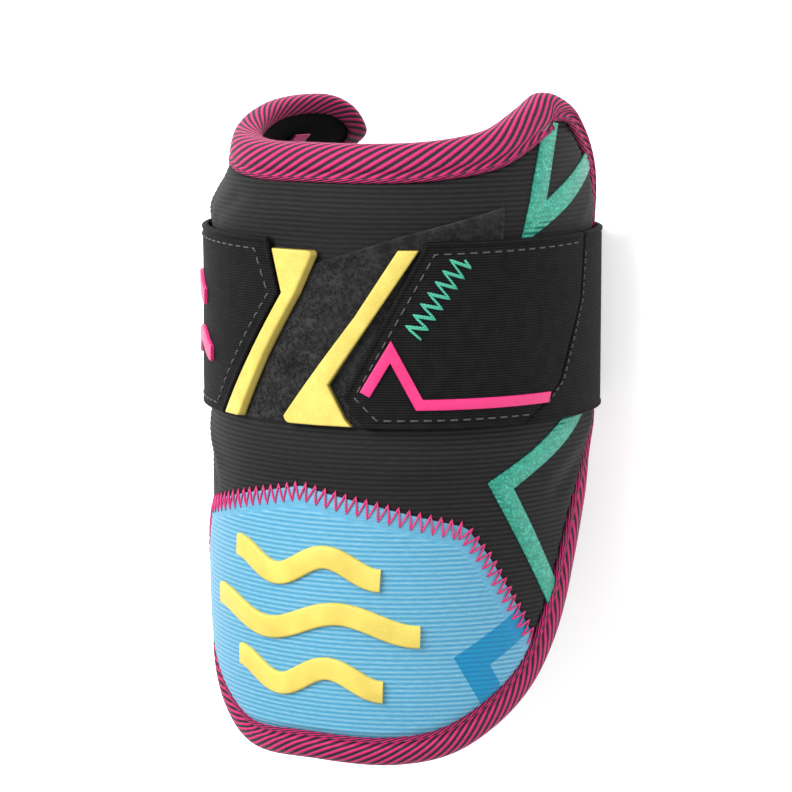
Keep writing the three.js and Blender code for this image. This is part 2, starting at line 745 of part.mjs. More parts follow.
// Small raised wave on the left strap end
function strapMark({ across }) {
  const middle = -seamAt(across) + STRAP_WIDTH * 0.53;
  const points = wavePoints(middle, strapRow(across), STRAP_WIDTH * 0.3, STRAP_MARK_STROKE / 2);
  const seat = strapFace + CLEARANCE;
  return stroke(points, STRAP_MARK_STROKE, onStrap, seat, seat + LINE_THICKNESS, LINE_THICKNESS / 2);
}

// Folded ribbon tab on the lining, just under the rim's tape
function liningTab() {
  const middle = LINING_TAB_PLACE * WING_REACH;
  const tapeOver = (s) => stopAtTape({ s, h: strapRow(1) }, { s, h: GUARD_LENGTH }, CLEARANCE * 2).h;
  const rim = Math.min(tapeOver(middle - TAB_WIDTH / 2), tapeOver(middle + TAB_WIDTH / 2));
  const back = -WALL - TAB_SEAT;
  const rows = [rim - TAB_LENGTH, rim - TAB_LENGTH / 2, rim - TAB_LENGTH / 10, rim];
  const swell = [0.5, 1, 1, 0.45];
  const layer = (stand) => rows.map((h, i) => [-0.5, 0, 0.5].map((share) => {
    const t = back - stand * swell[i] * TAB_THICKNESS;
    return onWall(middle + share * TAB_WIDTH, h, t);
  }));
  return slab(layer(0), layer(1));
}

const guard = new THREE.Group();

function add(name, geometry, finish) {
  const mesh = new THREE.Mesh(geometry, new THREE.MeshStandardMaterial(FINISHES[finish]));
  mesh.name = name;
  mesh.material.name = finish;
  guard.add(mesh);
}

add('sleeve', sleeve(), 'ribbed_cloth');
add('edge_binding', edgeBinding(), 'striped_tape');
add('elbow_panel', elbowPanel(), 'blue_cloth');
EMBLEM_WAVES.forEach((wave) => add(wave.name, panelWave(wave), 'yellow_rubber'));
add('loop_patch', loopPatch(), 'loop_pile');
add('lower_chevron', lowerChevron(), 'teal_print');
add('upper_chevron', upperChevron(), 'teal_print');
add('strap_band', strapBand(), 'elastic');
add('strap_end_right', strapEnd(RIGHT_END, 1), 'canvas');
add('strap_end_left', strapEnd(LEFT_END, -1), 'canvas');
add('strap_tip_right', strapTip(RIGHT_TIP), 'yellow_rubber');
add('strap_tip_left', strapTip(LEFT_TIP), 'yellow_rubber');
add('bent_line', bentLine(), 'pink_rubber');
STRAP_MARKS.forEach((mark) => add(mark.name, strapMark(mark), 'pink_rubber'));
add('lining_tab', liningTab(), 'pink_ribbon');

// The guard rests on its strap's back, centred over the origin
const bounds = new THREE.Box3().setFromObject(guard);
const middle = bounds.getCenter(new THREE.Vector3());
guard.position.set(-middle.x, -middle.y, -bounds.min.z);

export default guard;
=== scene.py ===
import math

import bmesh
import bpy
import numpy as np
from mathutils import Matrix, Vector


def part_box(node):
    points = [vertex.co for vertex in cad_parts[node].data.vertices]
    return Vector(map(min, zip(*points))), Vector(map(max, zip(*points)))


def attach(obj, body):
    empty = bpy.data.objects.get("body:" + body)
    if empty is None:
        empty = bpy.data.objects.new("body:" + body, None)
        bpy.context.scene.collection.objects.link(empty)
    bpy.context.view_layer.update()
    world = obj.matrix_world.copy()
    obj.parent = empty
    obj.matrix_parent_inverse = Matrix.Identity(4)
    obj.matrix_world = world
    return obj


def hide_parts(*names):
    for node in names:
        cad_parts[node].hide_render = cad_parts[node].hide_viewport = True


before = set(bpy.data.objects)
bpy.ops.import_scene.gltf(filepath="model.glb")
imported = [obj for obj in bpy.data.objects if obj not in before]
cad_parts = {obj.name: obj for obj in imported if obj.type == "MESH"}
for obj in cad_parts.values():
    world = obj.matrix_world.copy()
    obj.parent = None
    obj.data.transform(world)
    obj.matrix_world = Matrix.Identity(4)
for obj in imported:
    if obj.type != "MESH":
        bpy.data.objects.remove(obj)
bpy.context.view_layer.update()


# Studio: the guard lies on a pale seamless floor under soft white light, most of it from high on the
# left. The camera is a long lens about a metre off, turned to the guard's right and a little above.
AIM = Vector((0.0, -0.00333, 0.03605))
TURN_RIGHT = math.radians(30.5)
TURN_UP = math.radians(9)
CAMERA_DISTANCE = 1.03
LENS_MM = 148.3
FRAME_PX = 792
AIM_RIGHT_PX = 7
AIM_DOWN_PX = 24
SOFT_BOXES = [
    {"name": "key_light", "place": (-0.5, 0.8, 1.35), "size": 1.1, "power": 45},
    {"name": "fill_light", "place": (1.2, 0.3, 1.0), "size": 1.2, "power": 7},
]
SKY_STRENGTH = 0.8
FLOOR_SIZE = 6
PAPER_WHITE = 0.93
PAPER_ROUGHNESS = 0.9
PAPER_GLOW = 0.36

scene = bpy.context.scene
scene.view_settings.view_transform = "Standard"

floor_mesh = bpy.data.meshes.new("floor")
half_floor = FLOOR_SIZE / 2
floor_corners = [(-half_floor, -half_floor, 0), (half_floor, -half_floor, 0)]
floor_corners += [(half_floor, half_floor, 0), (-half_floor, half_floor, 0)]
floor_mesh.from_pydata(floor_corners, [], [(0, 1, 2, 3)])
floor = bpy.data.objects.new("floor", floor_mesh)
scene.collection.objects.link(floor)
paper = bpy.data.materials.new("white_paper")
paper.use_nodes = True
paper_shader = paper.node_tree.nodes["Principled BSDF"]
paper_shader.inputs["Base Color"].default_value = (PAPER_WHITE, PAPER_WHITE, PAPER_WHITE, 1)
paper_shader.inputs["Roughness"].default_value = PAPER_ROUGHNESS
paper_shader.inputs["Emission Color"].default_value = (1, 1, 1, 1)
paper_shader.inputs["Emission Strength"].default_value = PAPER_GLOW
floor_mesh.materials.append(paper)

sky = bpy.data.worlds.new("studio_sky")
sky.use_nodes = True
sky.node_tree.nodes["Background"].inputs["Color"].default_value = (1, 1, 1, 1)
sky.node_tree.nodes["Background"].inputs["Strength"].default_value = SKY_STRENGTH
scene.world = sky

for box in SOFT_BOXES:
    light = bpy.data.lights.new(box["name"], "AREA")
    light.size = box["size"]
    light.energy = box["power"]
    lamp = bpy.data.objects.new(box["name"], light)
    lamp.location = box["place"]
    lamp.rotation_euler = (AIM - lamp.location).to_track_quat("-Z", "Y").to_euler()
    scene.collection.objects.link(lamp)

to_camera = Vector((math.sin(TURN_RIGHT), math.tan(TURN_UP), math.cos(TURN_RIGHT))).normalized()
camera_right = Vector((0, 1, 0)).cross(to_camera).normalized()
camera_up = to_camera.cross(camera_right)
camera_data = bpy.data.cameras.new("camera")
camera_data.lens = LENS_MM
camera_data.shift_x = -AIM_RIGHT_PX / FRAME_PX
camera_data.shift_y = AIM_DOWN_PX / FRAME_PX
camera = bpy.data.objects.new("camera", camera_data)
camera.matrix_world = Matrix.Translation(AIM + to_camera * CAMERA_DISTANCE) @ Matrix(
    (camera_right, camera_up, to_camera)
).transposed().to_4x4()
scene.collection.objects.link(camera)
scene.camera = camera


# Sleeve: the padded wall, foam under black ottoman cloth with a rib every 1.5 mm, lined with smooth
# black jersey. It is cut flat and bent round the arm, so a place on it is s mm round from the centre
# line, h mm up the guard and t mm off the outer face.
MM = 0.001
GUARD_LENGTH = 203
FRONT_RADIUS = 60
WING_REACH = 126
WALL = 7
STATIONS = [-1, -0.84, -0.68, -0.52, -0.4, -0.26, -0.12, 0, 0.12, 0.26, 0.4, 0.52, 0.68, 0.84, 1]
# Each row is a share of the length up the guard. Its inset draws the front in by a share of the radius,
# and its bends are the turn of the wall at each station, against that of a plain cylinder.
WALL_ROWS = [
    {"up": 0, "inset": 0.083, "bends": [1] * 15},
    {"up": 0.12, "inset": 0.025, "bends": [1] * 15},
    {"up": 0.3, "inset": 0, "bends": [1.2, 1.15, 1.05] + [1] * 9 + [1.05, 1.15, 1.2]},
    {"up": 0.42, "inset": 0, "bends": [1.6, 1.45, 1.1] + [1] * 9 + [1.1, 1.45, 1.6]},
    {"up": 0.5, "inset": 0.013, "bends": [1.7, 1.2, 1.03] + [1] * 9 + [1.03, 1.2, 1.7]},
    {"up": 0.8, "inset": 0.013, "bends": [1.7, 1.2, 1.03] + [1] * 9 + [1.03, 1.2, 1.7]},
    {
        "up": 0.87,
        "inset": 0.02,
        "bends": [1.3, 1.02, 0.92, 1, 1.15, 1.4, 1.15] + [1] * 5 + [1.05, 1.2, 1.5],
    },
    {
        "up": 0.93,
        "inset": 0.027,
        "bends": [0.75, 0.5, 0.5, 1.1, 1.8, 2.2, 1.25] + [1] * 4 + [1.03, 1.08, 1.2, 1.4],
    },
    {
        "up": 1,
        "inset": 0.037,
        "bends": [0.55, 0.25, 0.2, 0.9, 2.1, 2.9, 1.25] + [1] * 4 + [1.03, 1.08, 1.2, 1.3],
    },
]
# The flat cloth's edge, in shares of the wing's reach and of the length. Left is where the left wing
# differs.
EDGE_ROWS = [
    {"out": 0, "up": 0},
    {"out": 0.22, "up": 0},
    {"out": 0.36, "up": 0.017, "left": 0.042},
    {"out": 0.5, "up": 0.064, "left": 0.112},
    {"out": 0.595, "up": 0.112, "left": 0.153},
    {"out": 0.67, "up": 0.17, "left": 0.2},
    {"out": 0.725, "up": 0.229, "left": 0.247},
    {"out": 0.775, "up": 0.297},
    {"out": 0.832, "up": 0.362},
    {"out": 0.92, "up": 0.425},
    {"out": 0.976, "up": 0.495},
    {"out": 1, "up": 0.585},
    {"out": 1, "up": 0.735},
    {"out": 0.97, "up": 0.81, "left": 0.805},
    {"out": 0.92, "up": 0.86, "left": 0.856},
    {"out": 0.86, "up": 0.908, "left": 0.9},
    {"out": 0.785, "up": 0.949, "left": 0.934},
    {"out": 0.7, "up": 0.988, "left": 0.968},
    {"out": 0.63, "up": 1, "left": 0.984},
    {"out": 0.565, "up": 0.981, "left": 0.987},
    {"out": 0.47, "up": 0.951, "left": 0.981},
    {"out": 0.4, "up": 0.941, "left": 0.968},
    {"out": 0.285, "up": 0.933, "left": 0.942},
    {"out": 0.14, "up": 0.9305},
    {"out": 0, "up": 0.9305},
]
BINDING_WIDTH = 9.5
RIM_WIDTH = 11.5
NARROW_WIDTH = 5
LINING_LEAF = 0.5
STRAP_CENTRE = 0.6527
STRAP_WIDTH = 56
STRAP_THICKNESS = 1.6
STRAP_RETURN_RADIUS = 8
STRAP_SEAT = 1.5
STRAP_FACE = STRAP_SEAT + STRAP_THICKNESS
STRAP_LOW = STRAP_CENTRE * GUARD_LENGTH - STRAP_WIDTH / 2
RIB_PITCH = 1.5
RIB_HEIGHT = 0.16
ROWS_A_RIB = 4
COLUMN_STEP = 2.5
LINING_STEP = 3
STRAP_PUFF = 0.8
PUFF_BELOW = {"up": 96, "spread": 7}
PUFF_ABOVE = {"up": 168, "spread": 6}
CUT_INSET = 1.8
TUCK_DEPTH = 1.2
SOFT_FOLDS = [
    {"start": (112, 102), "end": (82, 88), "width": 3.2, "rise": 0.8},
    {"start": (114, 96), "end": (86, 82), "width": 2.6, "rise": -0.7},
    {"start": (106, 91), "end": (90, 78), "width": 3, "rise": 0.5},
    {"start": (124, 101), "end": (116, 92), "width": 5, "rise": 0.7},
    {"start": (70, 98), "end": (28, 91), "width": 3.5, "rise": 0.4},
    {"start": (-58, 163), "end": (-49, 178), "width": 2.5, "rise": -0.7},
    {"start": (-66, 163), "end": (-59, 180), "width": 3, "rise": 0.8},
    {"start": (-46, 163), "end": (-28, 171), "width": 2.6, "rise": -0.5},
    {"start": (-75, 162), "end": (-70, 176), "width": 2.6, "rise": -0.6},
    {"start": (-62, 101), "end": (-44, 88), "width": 3, "rise": 0.6},
    {"start": (-64, 94), "end": (-48, 81), "width": 2.6, "rise": -0.5},
    {"start": (66, 165), "end": (84, 173), "width": 2.6, "rise": -0.4},
    {"start": (97, 163), "end": (108, 175), "width": 3, "rise": 0.5},
]


def smooth_rows(places, rows, at):
    """Values between the rows of a table, smooth and never swinging past them."""
    places, rows = np.array(places, float), np.array(rows, float)
    steps = np.diff(places)[:, None]
    slopes = np.diff(rows, axis=0) / steps
    before, after = slopes[:-1], slopes[1:]
    same_way = before * after > 0
    total = np.where(same_way, before + after, 1)
    inner = np.where(same_way, 2 * before * after / total, 0)
    tangents = np.vstack([slopes[:1], inner, slopes[-1:]])
    row = np.clip(np.searchsorted(places, at) - 1, 0, len(places) - 2)
    width = steps[row]
    t = ((np.asarray(at) - places[row])[:, None] / width).clip(0, 1)
    start = rows[row] * (1 + 2 * t) * (1 - t) ** 2 + tangents[row] * width * t * (1 - t) ** 2
    end = rows[row + 1] * t * t * (3 - 2 * t) + tangents[row + 1] * width * t * t * (t - 1)
    return start + end


def wall_sections():
    """The wall's place and heading every millimetre round it and up it."""
    ups = [row["up"] for row in WALL_ROWS]
    heights = np.arange(GUARD_LENGTH + 1) / GUARD_LENGTH
    inset = smooth_rows(ups, [[row["inset"]] for row in WALL_ROWS], heights)
    bends = smooth_rows(ups, [row["bends"] for row in WALL_ROWS], heights)
    reach = WING_REACH + 4
    middles = (np.arange(-reach, reach) + 0.5) / WING_REACH
    turns = np.array([np.interp(middles, STATIONS, row) for row in bends]) / FRONT_RADIUS
    blank = np.zeros((len(heights), 1))
    heading = np.hstack([blank, np.cumsum(turns, axis=1)])
    heading -= heading[:, reach : reach + 1]
    halfway = heading[:, :-1] + turns / 2
    x = np.hstack([blank, np.cumsum(np.cos(halfway), axis=1)])
    x -= x[:, reach : reach + 1]
    z = np.hstack([blank, -np.cumsum(np.sin(halfway), axis=1)])
    z += FRONT_RADIUS * (1 - inset) - z[:, reach : reach + 1]
    return reach, x, z, heading


wall_reach, wall_x, wall_z, wall_heading = wall_sections()


def on_section(s, h):
    """Place and heading on the wall, between the sections of the table."""
    across = np.clip(np.asarray(s, float) + wall_reach, 0, 2 * wall_reach - 0.001)
    up = np.clip(np.asarray(h, float), 0, GUARD_LENGTH - 0.001)
    j, i = across.astype(int), up.astype(int)
    u, v = across - j, up - i

    def between(table):
        low = table[i, j] * (1 - u) + table[i, j + 1] * u
        high = table[i + 1, j] * (1 - u) + table[i + 1, j + 1] * u
        return low * (1 - v) + high * v

    return between(wall_x), between(wall_z), between(wall_heading)


strap_height = STRAP_CENTRE * GUARD_LENGTH
wing_x, wing_z, wing_heading = on_section(WING_REACH, strap_height)
return_x = wing_x - STRAP_RETURN_RADIUS * math.sin(wing_heading)
return_z = wing_z - STRAP_RETURN_RADIUS * math.cos(wing_heading)
return_end = WING_REACH + STRAP_RETURN_RADIUS * (math.pi - wing_heading)
strap_half_loop = return_end + return_x

band_low, band_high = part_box("strap_band")
form_shift = np.array(
    [
        (band_low.x + band_high.x) / 2 / MM,
        band_low.y / MM - STRAP_LOW,
        band_low.z / MM - (return_z - STRAP_RETURN_RADIUS - STRAP_FACE),
    ]
)


def placed(x, z, heading, h, t):
    """Points in the row frame, in metres, standing off a section by t."""
    points = np.stack([x + t * np.sin(heading), h + 0 * x, z + t * np.cos(heading)], axis=-1)
    return (points + form_shift) * MM


def off_line(s, h, corners):
    """Distance from a line of straight runs."""
    nearest = np.full(np.shape(s), 1e9)
    for (s0, h0), (s1, h1) in zip(corners[:-1], corners[1:]):
        run = math.hypot(s1 - s0, h1 - h0)
        share = (((s - s0) * (s1 - s0) + (h - h0) * (h1 - h0)) / run**2).clip(0, 1)
        nearest = np.minimum(nearest, np.hypot(s - s0 - share * (s1 - s0), h - h0 - share * (h1 - h0)))
    return nearest


def swell(s, h):
    """How far the cloth stands off the plain wall: puffed beside the strap, with soft folds."""
    stand = 0
    for puff in (PUFF_BELOW, PUFF_ABOVE):
        stand = stand + STRAP_PUFF * np.exp(-(((h - puff["up"]) / puff["spread"]) ** 2))
    for fold in SOFT_FOLDS:
        distance = off_line(s, h, [fold["start"], fold["end"]])
        stand = stand + fold["rise"] * np.exp(-((distance / fold["width"]) ** 2))
    return stand


def on_wall(s, h, t):
    """A place on the sleeve's outer face."""
    s, h, t = np.broadcast_arrays(np.asarray(s, float), np.asarray(h, float), np.asarray(t, float))
    return placed(*on_section(s, h), h, t + swell(s, h))


def on_strap(s, h, t):
    """A place on the strap's loop: along the wall, in over the wings' ends and flat across the back."""
    s, h, t = np.broadcast_arrays(np.asarray(s, float), np.asarray(h, float), np.asarray(t, float))
    past = s > strap_half_loop
    s = np.where(past, 2 * strap_half_loop - s, s)
    x, z, heading = on_section(np.minimum(s, WING_REACH), np.full(s.shape, strap_height))
    turned = wing_heading + (s - WING_REACH) / STRAP_RETURN_RADIUS
    turning = (s > WING_REACH) & (s <= return_end)
    x = np.where(turning, return_x + STRAP_RETURN_RADIUS * np.sin(turned), x)
    z = np.where(turning, return_z + STRAP_RETURN_RADIUS * np.cos(turned), z)
    heading = np.where(turning, turned, heading)
    flat = s > return_end
    x = np.where(flat, strap_half_loop - s, x)
    z = np.where(flat, return_z - STRAP_RETURN_RADIUS, z)
    heading = np.where(flat, math.pi, heading)
    x = np.where(past, -x, x)
    heading = np.where(past, -heading, heading)
    return placed(x, z, heading, h, t)


def smooth_loop(corners, count):
    """Evenly spaced points on a smooth closed line through its corners, with its length."""
    p0, p1 = np.roll(corners, 1, 0), corners
    p2, p3 = np.roll(corners, -1, 0), np.roll(corners, -2, 0)
    d0, d1, d2 = [
        np.sqrt(np.linalg.norm(b - a, axis=1))[:, None] for a, b in ((p0, p1), (p1, p2), (p2, p3))
    ]
    leave = ((p1 - p0) / d0 - (p2 - p0) / (d0 + d1) + (p2 - p1) / d1) * d1
    meet = ((p2 - p1) / d1 - (p3 - p1) / (d1 + d2) + (p3 - p2) / d2) * d1
    w = (np.arange(40) / 40)[None, :, None]
    a, b = p1[:, None], p2[:, None]
    leave, meet = leave[:, None], meet[:, None]
    line = a + leave * w + (3 * (b - a) - 2 * leave - meet) * w**2 + (2 * (a - b) + leave + meet) * w**3
    line = line.reshape(-1, 2)
    line = np.vstack([line, line[:1]])
    run = np.concatenate([[0], np.cumsum(np.linalg.norm(np.diff(line, axis=0), axis=1))])
    at = np.arange(count) / count * run[-1]
    return np.stack([np.interp(at, run, line[:, n]) for n in (0, 1)], axis=1), run[-1]


def cloth_edge(count):
    """The flat cloth's edge, from the bottom centre round by the right wing, with the way inward."""
    right = [(row["out"] * WING_REACH, row["up"] * GUARD_LENGTH) for row in EDGE_ROWS]
    left = [
        (-row["out"] * WING_REACH, row.get("left", row["up"]) * GUARD_LENGTH)
        for row in EDGE_ROWS[1:-1]
    ]
    points, length = smooth_loop(np.array(right + left[::-1]), count)
    along = np.roll(points, -1, 0) - np.roll(points, 1, 0)
    along /= np.linalg.norm(along, axis=1)[:, None]
    return points, np.stack([-along[:, 1], along[:, 0]], axis=1), length


def tape_width(s, h):
    """The tape is broad over the rim, and narrow down the right wing's upper back edge."""
    up = h / GUARD_LENGTH
    to_middle = np.interp(np.abs(s) / WING_REACH, [0.62, 0.76], [1, 0])
    broad = BINDING_WIDTH + (RIM_WIDTH - BINDING_WIDTH) * np.interp(up, [0.78, 0.9], [0, 1]) * to_middle
    narrowed = np.interp(s / WING_REACH, [0.62, 0.74], [0, 1]) * np.interp(up, [0.6, 0.78], [0, 1])
    return broad + (NARROW_WIDTH - broad) * narrowed


edge, edge_in, _ = cloth_edge(260)


def from_edge(s, h):
    """Distance from the cloth's edge, for many places at once."""
    places = np.stack([np.ravel(s), np.ravel(h)], axis=1)
    runs = np.roll(edge, -1, 0) - edge
    nearest = np.full(len(places), 1e9)
    for start, run in zip(edge, runs):
        share = (((places - start) @ run) / (run @ run)).clip(0, 1)[:, None]
        nearest = np.minimum(nearest, np.linalg.norm(places - start - share * run, axis=1))
    return nearest.reshape(np.shape(s))


def ease(value, low, high):
    """A smooth step, from 0 at low to 1 at high."""
    t = ((value - low) / (high - low)).clip(0, 1)
    return t * t * (3 - 2 * t)


def outline_heights(inset, columns):
    """Lowest and highest place of the cloth's outline, moved in by inset, over each column."""
    moved = edge + edge_in * np.reshape(inset, (-1, 1))
    lower = moved[moved[:, 1] < strap_height]
    upper = moved[moved[:, 1] >= strap_height]
    lower = lower[np.argsort(lower[:, 0])]
    upper = upper[np.argsort(upper[:, 0])]
    return np.interp(columns, *lower.T), np.interp(columns, *upper.T)


def cut_cloth(columns, rows, lows, tops):
    """Flat cloth cut from columns and rows between two edges: places, faces and corner numbers."""
    first = np.clip(np.searchsorted(rows, lows, side="right") - 1, 0, len(rows) - 2)
    last = np.clip(np.searchsorted(rows, tops, side="left"), first + 1, len(rows) - 1)
    starts = np.concatenate([[0], np.cumsum(last - first + 1)])
    s = np.concatenate([np.full(b - a + 1, c) for a, b, c in zip(first, last, columns)])
    h = np.concatenate(
        [np.clip(rows[a : b + 1], low, top) for a, b, low, top in zip(first, last, lows, tops)]
    )
    numbers = np.clip(np.arange(len(rows))[:, None], first, last) - first + starts[:-1]
    faces = []
    for below, above in zip(numbers[:-1], numbers[1:]):
        for j in range(len(columns) - 1):
            a, b, c, d = below[j], below[j + 1], above[j + 1], above[j]
            if a != d and b != c:
                faces.append((a, b, c, d))
            elif a != d:
                faces.append((a, b, d))
            elif b != c:
                faces.append((a, b, c))
    return s, h, faces, numbers


def new_piece(name, points, faces, flat, material, replaces=(), sharp=180):
    """A mesh that rides on the guard, smooth except at sharp bends, remembering its flat places."""
    mesh = bpy.data.meshes.new(name)
    mesh.from_pydata(np.asarray(points).tolist(), [], [tuple(int(i) for i in face) for face in faces])
    mesh.validate()
    kept = mesh.attributes.new("flat", "FLOAT_VECTOR", "POINT")
    kept.data.foreach_set("vector", np.asarray(flat, np.float32).ravel())
    shape = bmesh.new()
    shape.from_mesh(mesh)
    bmesh.ops.recalc_face_normals(shape, faces=shape.faces)
    shape.to_mesh(mesh)
    shape.free()
    mesh.shade_smooth()
    if sharp < 180:
        mesh.set_sharp_from_angle(angle=math.radians(sharp))
    mesh.materials.append(material)
    piece = bpy.data.objects.new(name, mesh)
    scene.collection.objects.link(piece)
    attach(piece, "root")
    if replaces:
        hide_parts(*replaces)
    return piece


class Finish:
    """A material under construction: its nodes, and the flat place of the cloth it covers."""

    def __init__(self, name, roughness, **fixed):
        self.material = bpy.data.materials.new(name)
        self.material.use_nodes = True
        self.tree = self.material.node_tree
        self.shader = self.tree.nodes["Principled BSDF"]
        self.shader.inputs["Roughness"].default_value = roughness
        for socket, value in fixed.items():
            self.shader.inputs[socket.replace("_", " ")].default_value = value

    def node(self, kind, settings, **inputs):
        made = self.tree.nodes.new(kind)
        for name, value in settings.items():
            setattr(made, name, value)
        for name, value in inputs.items():
            self.feed(made.inputs[name.replace("_", " ")], value)
        return made

    def feed(self, socket, value):
        if isinstance(value, bpy.types.NodeSocket):
            self.tree.links.new(value, socket)
        else:
            socket.default_value = value

    def place(self, name="flat"):
        """The three numbers of a place that the mesh remembers."""
        found = self.node("ShaderNodeAttribute", {"attribute_name": name})
        parts = self.node("ShaderNodeSeparateXYZ", {}, Vector=found.outputs["Vector"])
        return parts.outputs["X"], parts.outputs["Y"], parts.outputs["Z"]

    def math(self, operation, a, b=0.0, c=0.0):
        made = self.node("ShaderNodeMath", {"operation": operation})
        for socket, value in zip(made.inputs, (a, b, c)):
            self.feed(socket, value)
        return made.outputs[0]

    def at(self, x, y, z=0.0):
        return self.node("ShaderNodeCombineXYZ", {}, X=x, Y=y, Z=z).outputs[0]

    def noise(self, where, scale, detail=2.0, roughness=0.5):
        made = self.node(
            "ShaderNodeTexNoise", {}, Vector=where, Scale=scale, Detail=detail, Roughness=roughness
        )
        return made.outputs["Fac"]

    def wave(self, value, pitch):
        """Rounded ridges from 0 to 1, one to a pitch."""
        swing = self.math("COSINE", self.math("MULTIPLY", value, 2 * math.pi / pitch))
        return self.math("MULTIPLY_ADD", swing, 0.5, 0.5)

    def ramp(self, value, stops):
        made = self.node("ShaderNodeValToRGB", {}, Fac=value)
        points = made.color_ramp.elements
        while len(points) < len(stops):
            points.new(0.5)
        for point, (place, colour) in zip(points, stops):
            point.position = place
            point.color = (*colour, 1)
        return made.outputs["Color"]

    def blend(self, amount, first, second):
        made = self.node("ShaderNodeMix", {"data_type": "RGBA"})
        self.feed(made.inputs["Factor"], amount)
        self.feed(made.inputs[6], first)
        self.feed(made.inputs[7], second)
        return made.outputs[2]

    def clamp_range(self, value, low, high, new_low=0.0, new_high=1.0):
        made = self.node("ShaderNodeMapRange", {"interpolation_type": "SMOOTHSTEP"}, Value=value)
        made.inputs["From Min"].default_value = low
        made.inputs["From Max"].default_value = high
        made.inputs["To Min"].default_value = new_low
        made.inputs["To Max"].default_value = new_high
        return made.outputs[0]

    def colour(self, value):
        self.feed(self.shader.inputs["Base Color"], value)

    def bump(self, height, depth_mm):
        """Fine relief too small to model, depth_mm deep where height goes from 0 to 1."""
        made = self.node("ShaderNodeBump", {}, Height=height, Distance=depth_mm * MM)
        made.inputs["Strength"].default_value = 1.0
        self.feed(self.shader.inputs["Normal"], made.outputs["Normal"])


def ottoman(name, deep, crest, pitch, roughness, sheen):
    """Cross-ribbed cloth: thick cords under fine warp threads. Its rib crests and warp threads are painted
    lighter and its rib valleys darker, as painted light and shade.
    """
    cloth = Finish(name, roughness, Sheen_Weight=sheen, Sheen_Roughness=0.5, Specular_IOR_Level=0.15)
    s, h, _ = cloth.place()
    wander = cloth.noise(cloth.at(s, h), 0.05, 2)
    level = cloth.math("MULTIPLY_ADD", wander, 0.5, h)
    rib = cloth.wave(level, pitch)
    stretched = cloth.at(cloth.math("MULTIPLY", s, 0.3), cloth.math("MULTIPLY", h, 2.2))
    streak = cloth.noise(stretched, 1.0, 3, 0.7)
    warp = cloth.wave(s, 0.42)
    lightness = cloth.math("MULTIPLY", rib, cloth.clamp_range(streak, 0.25, 0.75, 0.45, 1.15))
    lightness = cloth.math("MULTIPLY_ADD", warp, 0.12, lightness)
    # Painted light and shade: the ramp runs from the rib valleys' painted shade to the crests' painted
    # highlight.
    cloth.colour(cloth.ramp(lightness, [(0.0, deep), (1.0, crest)]))
    relief = cloth.math("MULTIPLY_ADD", warp, 0.35, cloth.math("MULTIPLY", streak, 0.5))
    cloth.bump(relief, 0.12)
    return cloth


# Painted shade for the rib valleys and painted highlight for the rib crests of the black cloth.
rib_valley_shade_black, rib_crest_highlight_black = (0.001, 0.001, 0.0011), (0.0145, 0.0145, 0.015)
black_ottoman = ottoman("ribbed_cloth", rib_valley_shade_black, rib_crest_highlight_black, RIB_PITCH, 0.7, 0.02)

reach_inside = WING_REACH - CUT_INSET - 0.1
columns = np.linspace(-reach_inside, reach_inside, int(2 * reach_inside / COLUMN_STEP) + 1)
lows, tops = outline_heights(CUT_INSET, columns)
rows = np.arange(0, GUARD_LENGTH, RIB_PITCH / ROWS_A_RIB)
s, h, faces, numbers = cut_cloth(columns, rows, lows, tops)
lining_rows = np.arange(0, GUARD_LENGTH + LINING_STEP, LINING_STEP)
lining_s, lining_h, lining_faces, lining_numbers = cut_cloth(columns, lining_rows, lows, tops)

tuck = TUCK_DEPTH * (1 - ease(from_edge(s, h) - tape_width(s, h), -0.6, 1.6))
ribs = RIB_HEIGHT * (0.5 + 0.5 * np.cos(2 * math.pi * h / RIB_PITCH))
outer = on_wall(s, h, ribs - RIB_HEIGHT - tuck)
lining_leaf = tape_width(lining_s, lining_h) * LINING_LEAF
lining_tuck = TUCK_DEPTH * (1 - ease(from_edge(lining_s, lining_h) - lining_leaf, -0.6, 1.6))
inner = placed(*on_section(lining_s, lining_h), lining_h, lining_tuck - WALL)

first_inner = len(s)
faces += [tuple(i + first_inner for i in reversed(face)) for face in lining_faces]
for outside, inside in ((numbers[0], lining_numbers[0]), (numbers[-1], lining_numbers[-1])):
    for j in range(len(columns) - 1):
        faces.append((outside[j], outside[j + 1], inside[j + 1] + first_inner, inside[j] + first_inner))
for j in (0, -1):
    wall_end = list(dict.fromkeys(numbers[:, j])) + [
        i + first_inner for i in dict.fromkeys(lining_numbers[::-1, j])
    ]
    faces.append(tuple(wall_end))
flat = np.concatenate(
    [np.stack([s, h, 0 * s], axis=1), np.stack([lining_s, lining_h, 0 * lining_s - WALL], axis=1)]
)
sleeve = new_piece(
    "sleeve_padding",
    np.concatenate([outer, inner]),
    faces,
    flat,
    black_ottoman.material,
    ["sleeve"],
)

jersey = Finish("lining_jersey", 0.9, Specular_IOR_Level=0.1)
s_flat, h_flat, _ = jersey.place()
knit = jersey.noise(jersey.at(s_flat, h_flat), 1.6, 3)
jersey.colour(jersey.ramp(knit, [(0.3, (0.0012, 0.0012, 0.0012)), (0.8, (0.005, 0.005, 0.005))]))
jersey.bump(knit, 0.1)
sleeve.data.materials.append(jersey.material)
for polygon in sleeve.data.polygons:
    if min(polygon.vertices) >= first_inner:
        polygon.material_index = 1


# Edge binding: grosgrain tape striped pink and black on the slant, folded over the wall's edge all the
# way round and sewn down, with a narrow turned hem along the edge of its outer leaf.
STRIPE_PITCH = 3.96
STRIPE_SLANT = math.radians(25)
HEM_SLANT = math.radians(12)
HEM_WIDTH = 2.5
TAPE_STATIONS = 840
SECTION_SIDES = 44
